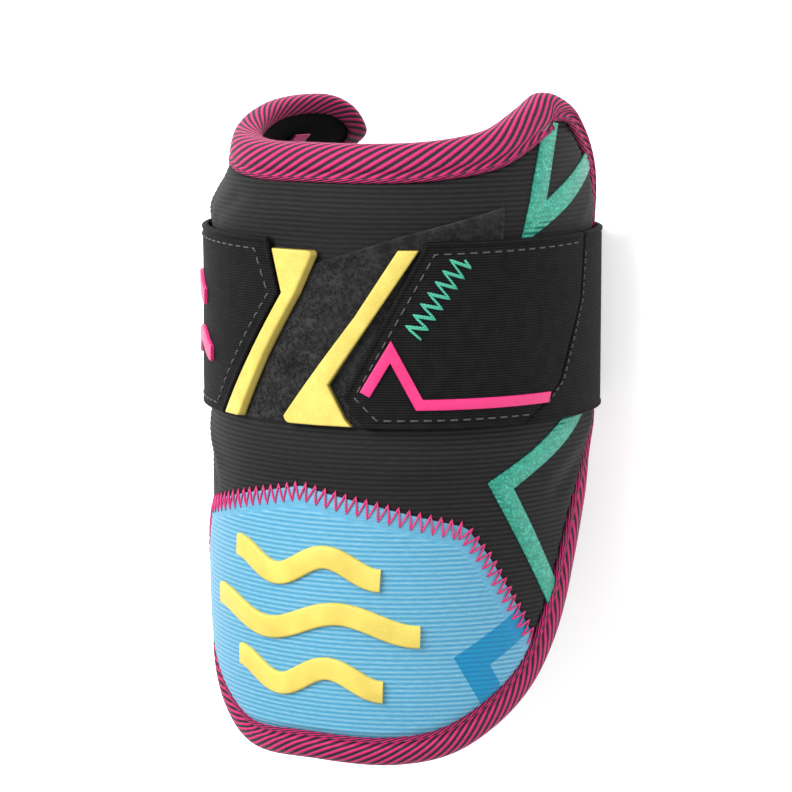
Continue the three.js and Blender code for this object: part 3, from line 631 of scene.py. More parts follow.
# Corners of the folded tape: a share of its width, mm more than that, and mm off the sleeve's face.
TAPE_SECTION = [
    (1, 0.1, -0.8),
    (1, 0.05, 0.0),
    (1, -0.6, 0.75),
    (1, -1.5, 0.8),
    (1, -2.3, 0.3),
    (1, -2.9, 0.35),
    (0.62, 0, 1.1),
    (0.4, 0, 1.25),
    (0.17, 0, 0.7),
    (0.03, 0, -1.0),
    (0, 0, -3.5),
    (0.03, 0, -6.0),
    (0.12, 0, -7.6),
    (0.24, 0, -8.0),
    (0.36, 0, -7.9),
    (0.46, 0, -7.6),
    (0.5, 0, -7.2),
    (0.47, 0, -6.3),
    (0.4, 0, -6.0),
    (0.4, 0, -1.0),
]


def ring_faces(count, sides, closed):
    """Faces between rings of points, each joined to the next, with flat ends where it isn't closed."""
    faces = []
    for i in range(count if closed else count - 1):
        k = (i + 1) % count
        for j in range(sides):
            n = (j + 1) % sides
            faces.append((i * sides + j, k * sides + j, k * sides + n, i * sides + n))
    if not closed:
        faces.append(tuple(range(sides)))
        faces.append(tuple(reversed(range((count - 1) * sides, count * sides))))
    return faces


tape_line, tape_in, tape_length = cloth_edge(TAPE_STATIONS)
widths = tape_width(tape_line[:, 0], tape_line[:, 1])
rounded, _ = smooth_loop(
    np.array([(share * BINDING_WIDTH + offset, t) for share, offset, t in TAPE_SECTION]), SECTION_SIDES
)
stretch = np.interp(rounded[:, 0], [0, BINDING_WIDTH - 3, BINDING_WIDTH], [0, 1, 1])
across = rounded[:, 0][None, :] + (widths - BINDING_WIDTH)[:, None] * stretch[None, :]
run = np.concatenate([[0], np.cumsum(np.linalg.norm(np.diff(rounded, axis=0), axis=1))])
stripes = round(tape_length / STRIPE_PITCH)
stripe_number = np.arange(TAPE_STATIONS) / TAPE_STATIONS * stripes
scallop = 0.22 * np.cos(2 * math.pi * (stripe_number[:, None] + across / 9))
in_hem = np.exp(-(((run - 1.7) / 0.8) ** 2))[None, :]
tape_s = tape_line[:, 0][:, None] + tape_in[:, 0][:, None] * across
tape_h = tape_line[:, 1][:, None] + tape_in[:, 1][:, None] * across
tape_t = rounded[:, 1][None, :] + scallop * in_hem
tape_x, tape_z, tape_heading = on_section(tape_s, tape_h)
tape_points = placed(tape_x, tape_z, tape_heading, tape_h, tape_t)
flat = np.stack([tape_s, tape_h, tape_t], axis=-1)

tape = Finish("striped_tape", 0.6, Specular_IOR_Level=0.25)
number, along_section, _ = tape.place("tape")
along_section = tape.math("MULTIPLY", along_section, 100)
cords = tape.at(tape.math("MULTIPLY", number, 9), tape.math("MULTIPLY", along_section, 2.2))
weave = tape.noise(cords, 1.0, 1)
in_hem_zone = tape.math("LESS_THAN", along_section, HEM_WIDTH)
slant = math.cos(STRIPE_SLANT) / math.sin(STRIPE_SLANT) / STRIPE_PITCH
hem_slant = math.cos(HEM_SLANT) / math.sin(HEM_SLANT) / STRIPE_PITCH
main_phase = tape.math("MULTIPLY_ADD", along_section, slant, number)
hem_phase = tape.math("MULTIPLY_ADD", along_section, hem_slant, number)
phase = tape.math(
    "ADD",
    tape.math("MULTIPLY", hem_phase, in_hem_zone),
    tape.math("MULTIPLY", main_phase, tape.math("SUBTRACT", 1.0, in_hem_zone)),
)
phase = tape.math("MULTIPLY_ADD", weave, 0.14, phase)
stripe = tape.wave(phase, 1.0)
pink = tape.clamp_range(stripe, 0.44, 0.58)
fine_cords = tape.at(tape.math("MULTIPLY", number, 30), tape.math("MULTIPLY", along_section, 3.5))
tone = tape.noise(fine_cords, 1.0, 2)
pinks = tape.ramp(tone, [(0.3, (0.29, 0.004, 0.065)), (0.7, (0.58, 0.018, 0.165))])
blacks = tape.ramp(tone, [(0.3, (0.003, 0.002, 0.003)), (0.7, (0.016, 0.011, 0.014))])
tape.colour(tape.blend(pink, blacks, pinks))
tape.bump(tape.math("MULTIPLY_ADD", tone, 0.4, stripe), 0.3)
tape_faces = ring_faces(TAPE_STATIONS, SECTION_SIDES, True)
binding = new_piece(
    "edge_binding_tape",
    tape_points.reshape(-1, 3),
    tape_faces,
    flat.reshape(-1, 3),
    tape.material,
    ["edge_binding"],
)
tape_map = binding.data.uv_layers.new(name="tape")
corner = np.empty(len(binding.data.loops), int)
binding.data.loops.foreach_get("vertex_index", corner)
station, side = corner // SECTION_SIDES, corner % SECTION_SIDES
per_face = station.reshape(-1, 4)
wraps = (per_face.max(axis=1) - per_face.min(axis=1)) > TAPE_STATIONS / 2
numbers_at = stripe_number[station].reshape(-1, 4)
numbers_at[wraps] += np.where(per_face[wraps] < TAPE_STATIONS / 2, stripes, 0)
run_at = run[side].reshape(-1, 4)
sides_at = side.reshape(-1, 4)
run_wraps = (sides_at.max(axis=1) - sides_at.min(axis=1)) > SECTION_SIDES / 2
run_at[run_wraps] = np.where(sides_at[run_wraps] < 2, run[-1] + 0.5, run_at[run_wraps])
tape_uv = np.stack([numbers_at.ravel(), run_at.ravel() / 100], axis=1)
tape_map.data.foreach_set("uv", tape_uv.astype(np.float32).ravel())


# Elbow panel: a shield of blue ottoman cloth laid over the moulded cap, its foot sewn in under the tape
# and its angled top edge pressed flat and overcast to the sleeve with pink zigzag.
PANEL_TOP = [(0, 0.424), (0.17, 0.402), (0.405, 0.366), (0.47, 0.315), (0.58, 0.202), (0.66, 0.13)]
PANEL_FACE = 1.3
PANEL_RIB_PITCH = 1.45
PANEL_RIB_HEIGHT = 0.14
PANEL_COLUMN_STEP = 1.8
UNDER_TAPE = 1.5
PRESSED_BAND = 6
ZIGZAG_PITCH = 3.3
ZIGZAG_ABOVE = 1.4
ZIGZAG_BELOW = 4.2
ZIGZAG_THREAD = 0.3
DARK_CHEVRON_POINT = (46.4, 34.6)
DARK_CHEVRON_UPPER = (-0.524, 0.851)
DARK_CHEVRON_LOWER = (-0.88, -0.473)
DARK_CHEVRON_STROKE = 8.6


def panel_top(s):
    """Height of the panel's top edge."""
    outs = [out * WING_REACH for out, up in PANEL_TOP]
    return np.interp(np.abs(s), outs, [up * GUARD_LENGTH for out, up in PANEL_TOP])


def below_panel_top(s, h):
    """Distance inside the panel's top edge, to the nearest of its straight runs."""
    corners = [(out * WING_REACH, up * GUARD_LENGTH) for out, up in PANEL_TOP]
    nearest = np.full(np.shape(s), 1e9)
    for (s0, h0), (s1, h1) in zip(corners[:-1], corners[1:]):
        run = math.hypot(s1 - s0, h1 - h0)
        share = (((np.abs(s) - s0) * (s1 - s0) + (h - h0) * (h1 - h0)) / run**2).clip(0, 1)
        off = np.hypot(np.abs(s) - s0 - share * (s1 - s0), h - h0 - share * (h1 - h0))
        nearest = np.minimum(nearest, off)
    return nearest


def with_back(faces, numbers, count):
    """Faces of a cut cloth of count places, of a back like it, and of the rim that joins them."""
    back = [tuple(i + count for i in reversed(face)) for face in faces]
    rim = list(dict.fromkeys(numbers[0])) + list(dict.fromkeys(numbers[:, -1]))[1:]
    rim += list(dict.fromkeys(numbers[-1, ::-1]))[1:] + list(dict.fromkeys(numbers[::-1, 0]))[1:-1]
    sides = [(a, b, b + count, a + count) for a, b in zip(rim, rim[1:] + rim[:1])]
    return faces + back + sides


panel_reach = WING_REACH * 0.64
columns = np.linspace(-panel_reach, panel_reach, int(2 * panel_reach / PANEL_COLUMN_STEP) + 1)
lows, _ = outline_heights(tape_width(edge[:, 0], edge[:, 1]) - UNDER_TAPE, columns)
tops = panel_top(columns)
wide = tops - lows > 1
columns, lows, tops = columns[wide], lows[wide], tops[wide]
rows = np.arange(0, GUARD_LENGTH, PANEL_RIB_PITCH / ROWS_A_RIB)
s, h, faces, numbers = cut_cloth(columns, rows, lows, tops)
inside_top = below_panel_top(s, h)
beside_tape = from_edge(s, h) - tape_width(s, h)
level = np.where(inside_top < PRESSED_BAND, 0, 1) * ease(inside_top, PRESSED_BAND - 0.5, PRESSED_BAND + 0.8)
sewn_down = (1 - ease(inside_top, 0, 3.5)) * 0.75
tucked = (1 - ease(beside_tape, -0.6, 2.2)) * 1.5
face = PANEL_FACE + 0.15 * level - sewn_down - tucked
ribs = PANEL_RIB_HEIGHT * (0.5 + 0.5 * np.cos(2 * math.pi * h / PANEL_RIB_PITCH)) * level
cut_side = -0.35 * (inside_top < 0.01)
outer = on_wall(s, h, face + ribs - PANEL_RIB_HEIGHT + cut_side)
back = on_wall(s, h, np.minimum(0.2, face - 0.4))
faces = with_back(faces, numbers, len(s))
flat = np.concatenate([np.stack([s, h, inside_top], axis=1)] * 2)

blue = Finish("blue_cloth", 0.5, Specular_IOR_Level=0.25)
s_flat, h_flat, inside = blue.place()
stretched = blue.at(blue.math("MULTIPLY", s_flat, 0.35), blue.math("MULTIPLY", h_flat, 2.0))
streak = blue.noise(stretched, 1.0, 3, 0.7)
rib = blue.wave(h_flat, PANEL_RIB_PITCH)
raised = blue.clamp_range(inside, PRESSED_BAND - 0.3, PRESSED_BAND + 0.5)
rib = blue.math("MULTIPLY_ADD", raised, blue.math("SUBTRACT", rib, 0.55), 0.55)
warp = blue.wave(s_flat, 0.42)
# Painted light and shade: outside the pressed band the rib crests and warp threads are painted lighter and
# the rib valleys darker, over the cloth's random streaks.
light = blue.math("MULTIPLY_ADD", rib, 0.42, blue.math("MULTIPLY", streak, 0.62))
light = blue.math("MULTIPLY_ADD", warp, 0.06, light)
streaked_rib_shade_blues = [(0.1, (0.022, 0.16, 0.29)), (0.5, (0.06, 0.24, 0.37)), (0.95, (0.19, 0.37, 0.46))]
streaked_rib_shade_blue = blue.ramp(light, streaked_rib_shade_blues)
past_s = blue.math("SUBTRACT", s_flat, DARK_CHEVRON_POINT[0])
past_h = blue.math("SUBTRACT", h_flat, DARK_CHEVRON_POINT[1])
outside = []
for way_s, way_h in (DARK_CHEVRON_UPPER, DARK_CHEVRON_LOWER):
    outside.append(blue.math("MULTIPLY_ADD", past_s, way_s, blue.math("MULTIPLY", past_h, way_h)))
off_point = blue.math("MAXIMUM", *outside)
dark_print = blue.math(
    "MULTIPLY",
    blue.clamp_range(off_point, -DARK_CHEVRON_STROKE - 0.15, -DARK_CHEVRON_STROKE + 0.15),
    blue.clamp_range(off_point, 0.15, -0.15),
)
# The dark print is ramped by the same painted rib light and shade.
inked_blue = blue.ramp(light, [(0.1, (0.0, 0.11, 0.24)), (0.95, (0.0, 0.2, 0.38))])
blue.colour(blue.blend(dark_print, streaked_rib_shade_blue, inked_blue))
blue.bump(blue.math("MULTIPLY_ADD", warp, 0.3, streak), 0.08)
panel = new_piece(
    "elbow_panel_cloth",
    np.concatenate([outer, back]),
    faces,
    flat,
    blue.material,
    ["elbow_panel"],
)


def thread_rings(places, tangent_to, radius, sides=6):
    """Rings round a thread through places (s, h, t) on the wall or the strap."""
    centres = tangent_to(*places.T)
    above = tangent_to(places[:, 0], places[:, 1], places[:, 2] + 1) - centres
    above /= np.linalg.norm(above, axis=1)[:, None]
    along = np.gradient(centres, axis=0)
    along /= np.maximum(np.linalg.norm(along, axis=1)[:, None], 1e-9)
    beside = np.cross(along, above)
    beside /= np.maximum(np.linalg.norm(beside, axis=1)[:, None], 1e-9)
    turns = np.arange(sides) / sides * 2 * math.pi
    ring = np.cos(turns)[None, :, None] * above[:, None] + np.sin(turns)[None, :, None] * beside[:, None]
    return centres[:, None] + ring * radius * MM


def sewn(name, lines, tangent_to, radius, material):
    """Threads along several lines of (s, h, t), as one piece."""
    points, faces, flat = [], [], []
    count = 0
    for line in lines:
        line = np.array(line, float)
        rings = thread_rings(line, tangent_to, radius)
        sides = rings.shape[1]
        faces += [tuple(count + i for i in face) for face in ring_faces(len(line), sides, False)]
        run = np.concatenate([[0], np.cumsum(np.linalg.norm(np.diff(line[:, :2], axis=0), axis=1))])
        turns = np.arange(sides) / sides
        thread_places = np.broadcast_arrays(run[:, None], turns[None, :], 0 * run[:, None])
        flat.append(np.stack(thread_places, axis=-1).reshape(-1, 3))
        points.append(rings.reshape(-1, 3))
        count += len(line) * sides
    return new_piece(name, np.concatenate(points), faces, np.concatenate(flat), material)


def along_line(corners, step):
    """Places every step along straight runs of (s, h), with the way to the left of each."""
    corners = np.array(corners, float)
    runs = np.diff(corners, axis=0)
    lengths = np.linalg.norm(runs, axis=1)
    ends = np.concatenate([[0], np.cumsum(lengths)])
    count = max(2, round(ends[-1] / step) + 1)
    at = np.linspace(0, ends[-1], count)
    which = np.clip(np.searchsorted(ends, at, side="right") - 1, 0, len(runs) - 1)
    places = np.stack([np.interp(at, ends, corners[:, n]) for n in (0, 1)], axis=1)
    ways = runs[which] / lengths[which][:, None]
    return places, np.stack([-ways[:, 1], ways[:, 0]], axis=1)


def zigzag(corners, pitch, above, below, ground):
    """A zigzag of thread over a line: it bows up between its holes and dips into each."""
    places, left = along_line(corners, pitch / 2)
    swings = np.where(np.arange(len(places)) % 2 == 0, above, -below)[:, None]
    holes = places + left * swings
    shares = np.linspace(0, 1, 9)[:-1]
    line = np.concatenate([a + (b - a) * shares[:, None] for a, b in zip(holes[:-1], holes[1:])])
    bow = np.tile(np.sin(math.pi * shares) ** 0.6, len(holes) - 1)
    lift = ground(line[:, 0], line[:, 1]) + 0.05 + 0.35 * bow
    return np.column_stack([line, lift])


def spun(name, colour, roughness=0.45):
    """Twisted polyester thread, the grooves of its twist painted darker as painted shade."""
    thread = Finish(name, roughness, Specular_IOR_Level=0.3)
    run, turn, _ = thread.place()
    twist = thread.wave(thread.math("MULTIPLY_ADD", turn, 0.9, run), 0.9)
    # Painted shade: the grooves between the plies are darkened to 0.55 of the thread's colour.
    dark = tuple(0.55 * part for part in colour)
    thread.colour(thread.ramp(twist, [(0.0, dark), (1.0, colour)]))
    thread.bump(twist, 0.08)
    return thread


pink_thread = spun("pink_thread", (0.62, 0.03, 0.17))
right_top = [(out * WING_REACH, up * GUARD_LENGTH) for out, up in PANEL_TOP]
over_top = [(-s, h) for s, h in right_top[::-1]] + right_top[1:]
fine_top, _ = along_line(over_top, 0.5)
clear = from_edge(*fine_top.T) > tape_width(*fine_top.T) + 0.5
fine_top = fine_top[clear][::-1]


def under_zigzag(s, h):
    """The ground that the panel's overcast stitches lie on: cloth above its edge, panel below."""
    depth = below_panel_top(s, h)
    on_panel = PANEL_FACE - 0.9 + 0.75 * np.minimum(depth / 3.5, 1)
    ground = np.where(h < panel_top(s), on_panel, 0.0)
    return np.convolve(np.pad(ground, 2, mode="edge"), np.ones(5) / 5, mode="valid")


panel_zigzag = zigzag(fine_top, ZIGZAG_PITCH, ZIGZAG_BELOW, ZIGZAG_ABOVE, under_zigzag)
sewn("panel_zigzag", [panel_zigzag], on_wall, ZIGZAG_THREAD, pink_thread.material)


# Wave bars: soft yellow rubber marks moulded onto the panel, of a plain rounded section.
WAVE_BAR_STROKE = 7
WAVE_BAR_SWING = 3.2
WAVE_BAR_THICKNESS = 1.2
WAVE_BARS = [
    {"name": "top", "up": 0.305, "reach": 0.2},
    {"name": "middle", "up": 0.22, "reach": 0.29},
    {"name": "low", "up": 0.135, "reach": 0.2},
]


def bar(name, points, width, profile, put, material, replaces, step=1.5, end_cut=0.0):
    """A bar along flat points, mitred at its bends. profile is (share across, stand-off) pairs."""
    points = np.array(points, float)
    runs = np.diff(points, axis=0)
    runs /= np.linalg.norm(runs, axis=1)[:, None]
    before, after = np.vstack([runs[:1], runs]), np.vstack([runs, runs[-1:]])
    across = np.stack([-(before[:, 1] + after[:, 1]), before[:, 0] + after[:, 0]], axis=1)
    across *= 2 * width / (across**2).sum(axis=1)[:, None]
    across[-1] += runs[-1] * end_cut
    shares = np.array([share for share, _ in profile])
    stands = np.array([stand for _, stand in profile])
    stages = []
    for i in range(len(points) - 1):
        parts = max(1, math.ceil(np.linalg.norm(points[i + 1] - points[i]) / step))
        for n in range(parts + (i == len(points) - 2)):
            share = n / parts
            middle = points[i] * (1 - share) + points[i + 1] * share
            reach = across[i] * (1 - share) + across[i + 1] * share
            stages.append(middle + shares[:, None] * reach)
    stages = np.array(stages)
    heights = np.broadcast_to(stands, stages.shape[:2])
    solid = put(stages[..., 0], stages[..., 1], heights).reshape(-1, 3)
    flat = np.concatenate([stages, heights[..., None]], axis=-1).reshape(-1, 3)
    faces = ring_faces(len(stages), len(profile), False)
    return new_piece(name, solid, faces, flat, material, replaces, sharp=40)


def moulded(width, back, face, corner):
    """Section of a moulded bar: a flat back, upright sides and rounded upper corners."""
    turn = corner / width
    arc = [(math.cos(a), math.sin(a)) for a in np.radians([0, 30, 60, 90])]
    right = [(0.5 - turn + turn * x, face - corner + corner * y) for x, y in arc]
    left = [(-share, stand) for share, stand in reversed(right)]
    return [(0.5, back), *right, (0, face), *left, (-0.5, back)]


def rubber(name, colour, deep, roughness, face=None):
    """Moulded soft rubber with a fine sandblasted grain in random tones. Given a face height, its colour is
    darkened below that face, as painted shade on chamfers and rounded edges.
    """
    made = Finish(name, roughness, Specular_IOR_Level=0.35)
    s, h, t = made.place()
    grain = made.noise(made.at(s, h, t), 2.6, 3, 0.75)
    cloudy = made.noise(made.at(s, h, t), 0.12, 2)
    mixed = made.math("MULTIPLY_ADD", cloudy, 0.5, made.math("MULTIPLY", grain, 0.6))
    tone = made.ramp(mixed, [(0.3, deep), (0.75, colour)])
    if face:
        # Painted shade: below the face the colour is blended toward a darker copy of the deep tone.
        shade = (*(part * 0.45 for part in deep), 1)
        tone = made.blend(made.clamp_range(t, face - 0.15, face - 0.6, 0, 0.8), tone, shade)
    made.colour(tone)
    made.bump(grain, 0.16)
    return made


yellow_rubber = rubber("yellow_rubber", (0.62, 0.5, 0.1), (0.42, 0.31, 0.045), 0.42)


def wave_line(middle, height, reach, swing, steps=42):
    """A wavy line of one and a half waves, reach to each side of its middle."""
    shares = np.linspace(-1, 1, steps + 1)
    return np.stack([middle + reach * shares, height + swing * np.sin(shares * math.pi * 1.5)], axis=1)


for wave in WAVE_BARS:
    line = wave_line(0, wave["up"] * GUARD_LENGTH, wave["reach"] * WING_REACH, WAVE_BAR_SWING)
    section = moulded(WAVE_BAR_STROKE, PANEL_FACE - 0.4, PANEL_FACE + WAVE_BAR_THICKNESS + 0.2, 0.8)
    bar(
        f"panel_wave_{wave['name']}_bar",
        line,
        WAVE_BAR_STROKE,
        section,
        on_wall,
        yellow_rubber.material,
        [f"panel_wave_{wave['name']}"],
    )


# Chevrons: teal foil heat-pressed onto the sleeve, so thin that the ribs show through it, running under
# the strap and the tape.
PRINT_STROKE = 6.6
PRINT_FACE = 0.35
LOWER_CHEVRON = [(0.8, 0.532), (0.496, 0.4236), (0.675, 0.235)]
UPPER_CHEVRON = [(0.652, 1.0), (0.612, 0.883), (0.583, 0.81), (0.91, 0.922)]

foil = Finish("teal_print", 0.38, Metallic=0.25)
s_flat, h_flat, _ = foil.place()
speckle = foil.node(
    "ShaderNodeTexVoronoi", {"feature": "F1"}, Vector=foil.at(s_flat, h_flat), Scale=1.7
).outputs["Color"]
glint = foil.node("ShaderNodeSeparateColor", {}, Color=speckle).outputs[0]
cloudy = foil.noise(foil.at(s_flat, h_flat), 0.5, 3)
mixed = foil.math("MULTIPLY_ADD", glint, 0.5, foil.math("MULTIPLY", cloudy, 0.5))
teals = [(0.1, (0.002, 0.12, 0.082)), (0.6, (0.009, 0.24, 0.165)), (0.95, (0.08, 0.44, 0.33))]
foil.colour(foil.ramp(mixed, teals))
rib = foil.wave(h_flat, RIB_PITCH)
foil.bump(foil.math("MULTIPLY_ADD", rib, 1.0, foil.math("MULTIPLY", glint, 0.3)), 0.2)


def print_line(rows):
    """The line of a print, its ends cut back to where the tape covers them."""
    line, _ = along_line([(out * WING_REACH, up * GUARD_LENGTH) for out, up in rows], 0.25)
    bends = [(out * WING_REACH, up * GUARD_LENGTH) for out, up in rows[1:-1]]
    hidden = from_edge(*line.T) < np.maximum(tape_width(*line.T) - 2, PRINT_STROKE / 2 + 1)
    middle = len(line) // 2
    first = max((i for i in range(middle) if hidden[i]), default=-1) + 1
    last = min((i for i in range(middle, len(line)) if hidden[i]), default=len(line))
    shown = line[first:last]
    return [tuple(shown[0]), *bends, tuple(shown[-1])]


print_section = [(0.5, -0.2), (0.5, PRINT_FACE - 0.1), (0.48, PRINT_FACE), (0, PRINT_FACE)]
print_section += [(-0.48, PRINT_FACE), (-0.5, PRINT_FACE - 0.1), (-0.5, -0.2)]
for name, rows in (("lower", LOWER_CHEVRON), ("upper", UPPER_CHEVRON)):
    bar(
        f"{name}_chevron_print",
        print_line(rows),
        PRINT_STROKE,
        print_section,
        on_wall,
        foil.material,
        [f"{name}_chevron"],
    )


# Loop patch: a strip of grey-black loop pile sewn across the front for the strap's ends to grip. It
# shows between the two tips and, cut on the slant, above them.
PATCH_TOP = [(-0.286, 0.69), (0.03, 0.754), (0.246, 0.798), (0.492, 0.837)]
PATCH_HEIGHT = 68
PATCH_FACE = 0.75
LOOPS_A_SQUARE_MM = 1.7
LOOP_WIDTH = 0.42
LOOP_RISE = 0.55
LOOP_YARN = 0.09
RIGHT_END = [(0, 0.357), (0.17, 0.25), (1, 0.679)]
LEFT_END = [(0, -0.584), (0.7, -0.121), (1, -0.196)]


def patch_top(s):
    """Height of the patch's slanting top edge."""
    outs = [out * WING_REACH for out, up in PATCH_TOP]
    return np.interp(s, outs, [up * GUARD_LENGTH for out, up in PATCH_TOP])


def strap_line(rows):
    """Corners of a line across the strap, from shares of its width."""
    return [(near * STRAP_WIDTH, STRAP_LOW + across * STRAP_WIDTH) for across, near in rows]


patch_left, patch_right = PATCH_TOP[0][0] * WING_REACH, PATCH_TOP[-1][0] * WING_REACH
columns = np.linspace(patch_left, patch_right, int((patch_right - patch_left) / 2) + 1)
rows = np.linspace(STRAP_LOW, STRAP_LOW + PATCH_HEIGHT, 60)
s, h, faces, numbers = cut_cloth(columns, rows, 0 * columns + STRAP_LOW + 0.5, patch_top(columns))
pile = Finish("loop_pile", 0.95, Sheen_Weight=0.03, Specular_IOR_Level=0.15)
s_flat, h_flat, _ = pile.place()
fluff = pile.noise(pile.at(s_flat, h_flat), 0.9, 4, 0.7)
patchy = pile.noise(pile.at(s_flat, h_flat), 0.16, 3, 0.6)
mixed = pile.math("MULTIPLY_ADD", patchy, 0.6, pile.math("MULTIPLY", fluff, 0.5))
pile.colour(pile.ramp(mixed, [(0.3, (0.003, 0.003, 0.003)), (0.75, (0.034, 0.034, 0.034))]))
pile.bump(fluff, 0.4)
front = on_wall(s, h, PATCH_FACE + 0.1 * np.cos(s * 2.1) * np.cos(h * 1.7))
back = on_wall(s, h, 0.1)
faces = with_back(faces, numbers, len(s))
flat = np.concatenate([np.stack([s, h, 0 * s], axis=1)] * 2)
patch = new_piece(
    "loop_patch_backing",
    np.concatenate([front, back]),
    faces,
    flat,
    pile.material,
    ["loop_patch"],
)

chance = np.random.default_rng(7)
tries = int((patch_right - patch_left) * PATCH_HEIGHT * LOOPS_A_SQUARE_MM)
s = chance.uniform(patch_left + 0.3, patch_right - 0.3, tries)
h = chance.uniform(STRAP_LOW + 0.8, STRAP_LOW + PATCH_HEIGHT, tries)
share = (h - STRAP_LOW) / STRAP_WIDTH
under_right = s > np.interp(share, *np.array(RIGHT_END).T) * STRAP_WIDTH + 1.5
under_left = s < np.interp(share, *np.array(LEFT_END).T) * STRAP_WIDTH - 1.5
shows = (h < patch_top(s) - 0.2) & ~((share < 0.985) & (under_left | under_right))
s, h = s[shows], h[shows]
turn = chance.uniform(0, math.pi, len(s))[:, None, None]
size = chance.uniform(0.7, 1.3, len(s))[:, None, None]
bend = np.radians([-10, 45, 90, 135, 190])[None, :, None]
round_yarn = np.radians([90, 210, 330])[None, None, :]
out_of_loop = LOOP_YARN * np.cos(round_yarn)
beside = LOOP_YARN * np.sin(round_yarn)
along = np.cos(bend) * (LOOP_WIDTH * size + out_of_loop)
rise = np.sin(bend) * (LOOP_RISE * size + out_of_loop)
loop_s = s[:, None, None] + along * np.cos(turn) - beside * np.sin(turn)
loop_h = h[:, None, None] + along * np.sin(turn) + beside * np.cos(turn)
loop_t = PATCH_FACE + rise
loops = on_wall(loop_s, loop_h, loop_t).reshape(-1, 3)
bends, sides = bend.size, round_yarn.size
one_loop = np.array([face for face in ring_faces(bends, sides, False) if len(face) == 4])
faces = (one_loop[None] + np.arange(len(s))[:, None, None] * bends * sides).reshape(-1, 4)
flat = np.stack([loop_s.ravel(), loop_h.ravel(), loop_t.ravel()], axis=1)
new_piece("loop_patch_pile", loops, faces, flat, pile.material)


# Strap: black elastic, finely ribbed along its length, from the right seam round the back to the left
# one. Its long edges are rolled and stitched, and it holds the guard flat on the table.
SEAM_ROWS = [(0, 0.54), (0.1, 0.603), (0.21, 0.659), (0.42, 0.698), (0.63, 0.738)]
SEAM_ROWS += [(0.92, 0.754), (1, 0.755)]
HEM_ROLL = 1.5
HEM_RIDGE = 0.28
STITCH_PITCH = 3.8
STITCH_LENGTH = 2.7
STITCH_THREAD = 0.26


def hem_relief(distance):
    """A rolled edge: round at the rim, a ridge, then a groove where it is sewn."""
    ridge = HEM_RIDGE * np.sin(math.pi * (distance / HEM_ROLL).clip(0, 1)) ** 0.7
    rim = -0.75 * (1 - (distance / 0.45).clip(0, 1)) ** 2
    groove = -0.16 * np.exp(-(((distance - HEM_ROLL - 0.25) / 0.3) ** 2))
    return ridge + rim + groove


def crowded(length, step, near_start=True, near_end=True):
    """Places along a length, closer together beside a hemmed end."""
    close = np.array([0, 0.08, 0.2, 0.4, 0.7, 1.05, 1.4, 1.65, 1.9, 2.4])
    start = close if near_start else np.array([0.0])
    end = length - (close if near_end else np.array([0.0]))
    middle = np.linspace(start[-1], end[-1], max(2, int(length / step)))[1:-1]
    return np.concatenate([start, middle, end[::-1]])


def strap_cloth(name, s, h, relief, material, replaces):
    """A strip of strap cloth from grids of flat places, pressed flat where the guard rests on it."""
    front = on_strap(s, h, STRAP_FACE + relief)
    back = on_strap(s, h, np.full(s.shape, STRAP_SEAT))
    count, width = s.shape
    rings = np.concatenate([front, back[:, ::-1]], axis=1)
    rings[..., 2] = np.maximum(rings[..., 2], 0)
    sides = 2 * width
    faces = [face for face in ring_faces(count, sides, False) if len(face) == 4]
    for first in (0, (count - 1) * sides):
        last = first + sides - 1
        faces += [(first + j, first + j + 1, last - j - 1, last - j) for j in range(width - 1)]
    flat = np.stack([s, h, relief], axis=-1)
    flat = np.concatenate([flat, flat[:, ::-1]], axis=1).reshape(-1, 3)
    return new_piece(name, rings.reshape(-1, 3), faces, flat, material, replaces)


def dashes(corners, stand, pitch=STITCH_PITCH, length=STITCH_LENGTH):
    """Straight stitches along a line of flat corners, each bowed up between its holes."""
    places, _ = along_line(corners, 0.1)
    run = np.concatenate([[0], np.cumsum(np.linalg.norm(np.diff(places, axis=0), axis=1))])
    bow = np.array([-0.45, 0.02, 0.14, 0.18, 0.14, 0.02, -0.45])
    lines = []
    for start in np.arange(0.3, run[-1] - length, pitch):
        at = start + length * np.linspace(0, 1, len(bow))
        s, h = [np.interp(at, run, places[:, n]) for n in (0, 1)]
        lines.append(np.stack([s, h, stand + bow], axis=1))
    return lines


def webbing(name, ribbed, roughness):
    """Strap cloth: fine dotted canvas, or elastic with fine ribs along its length. The weave's crests are
    painted lighter and the gaps between them darker, as painted light and shade.
    """
    made = Finish(name, roughness, Specular_IOR_Level=0.09)
    s, h, _ = made.place()
    patchy = made.noise(made.at(s, h), 0.25, 3)
    fuzz = made.noise(made.at(made.math("MULTIPLY", s, 2.0), h), 1.2, 2, 0.7)
    weft = made.wave(h, 1.0 if ribbed else 0.78)
    warp = made.wave(s, 0.66)
    dots = made.math("MULTIPLY", weft, made.math("MULTIPLY_ADD", warp, 0.25 if ribbed else 0.6, 0.5))
    light = made.math("MULTIPLY_ADD", dots, 0.75, made.math("MULTIPLY", fuzz, 0.35))
    light = made.math("MULTIPLY", light, made.clamp_range(patchy, 0.3, 0.7, 0.7, 1.1))
    # Painted light and shade: the weave's dots and ribs lighten the colour at their crests, together with
    # random fuzz and patches.
    made.colour(made.ramp(light, [(0.1, (0.0007, 0.0007, 0.0007)), (0.95, (0.012, 0.012, 0.0125))]))
    made.bump(made.math("MULTIPLY_ADD", fuzz, 0.4, dots), 0.12)
    return made


def seam_at(h):
    """How far round from the centre line the elastic is sewn to the strap's end."""
    places = [STRAP_LOW + across * STRAP_WIDTH for across, seam in SEAM_ROWS]
    return np.interp(h, places, [seam * WING_REACH for across, seam in SEAM_ROWS])


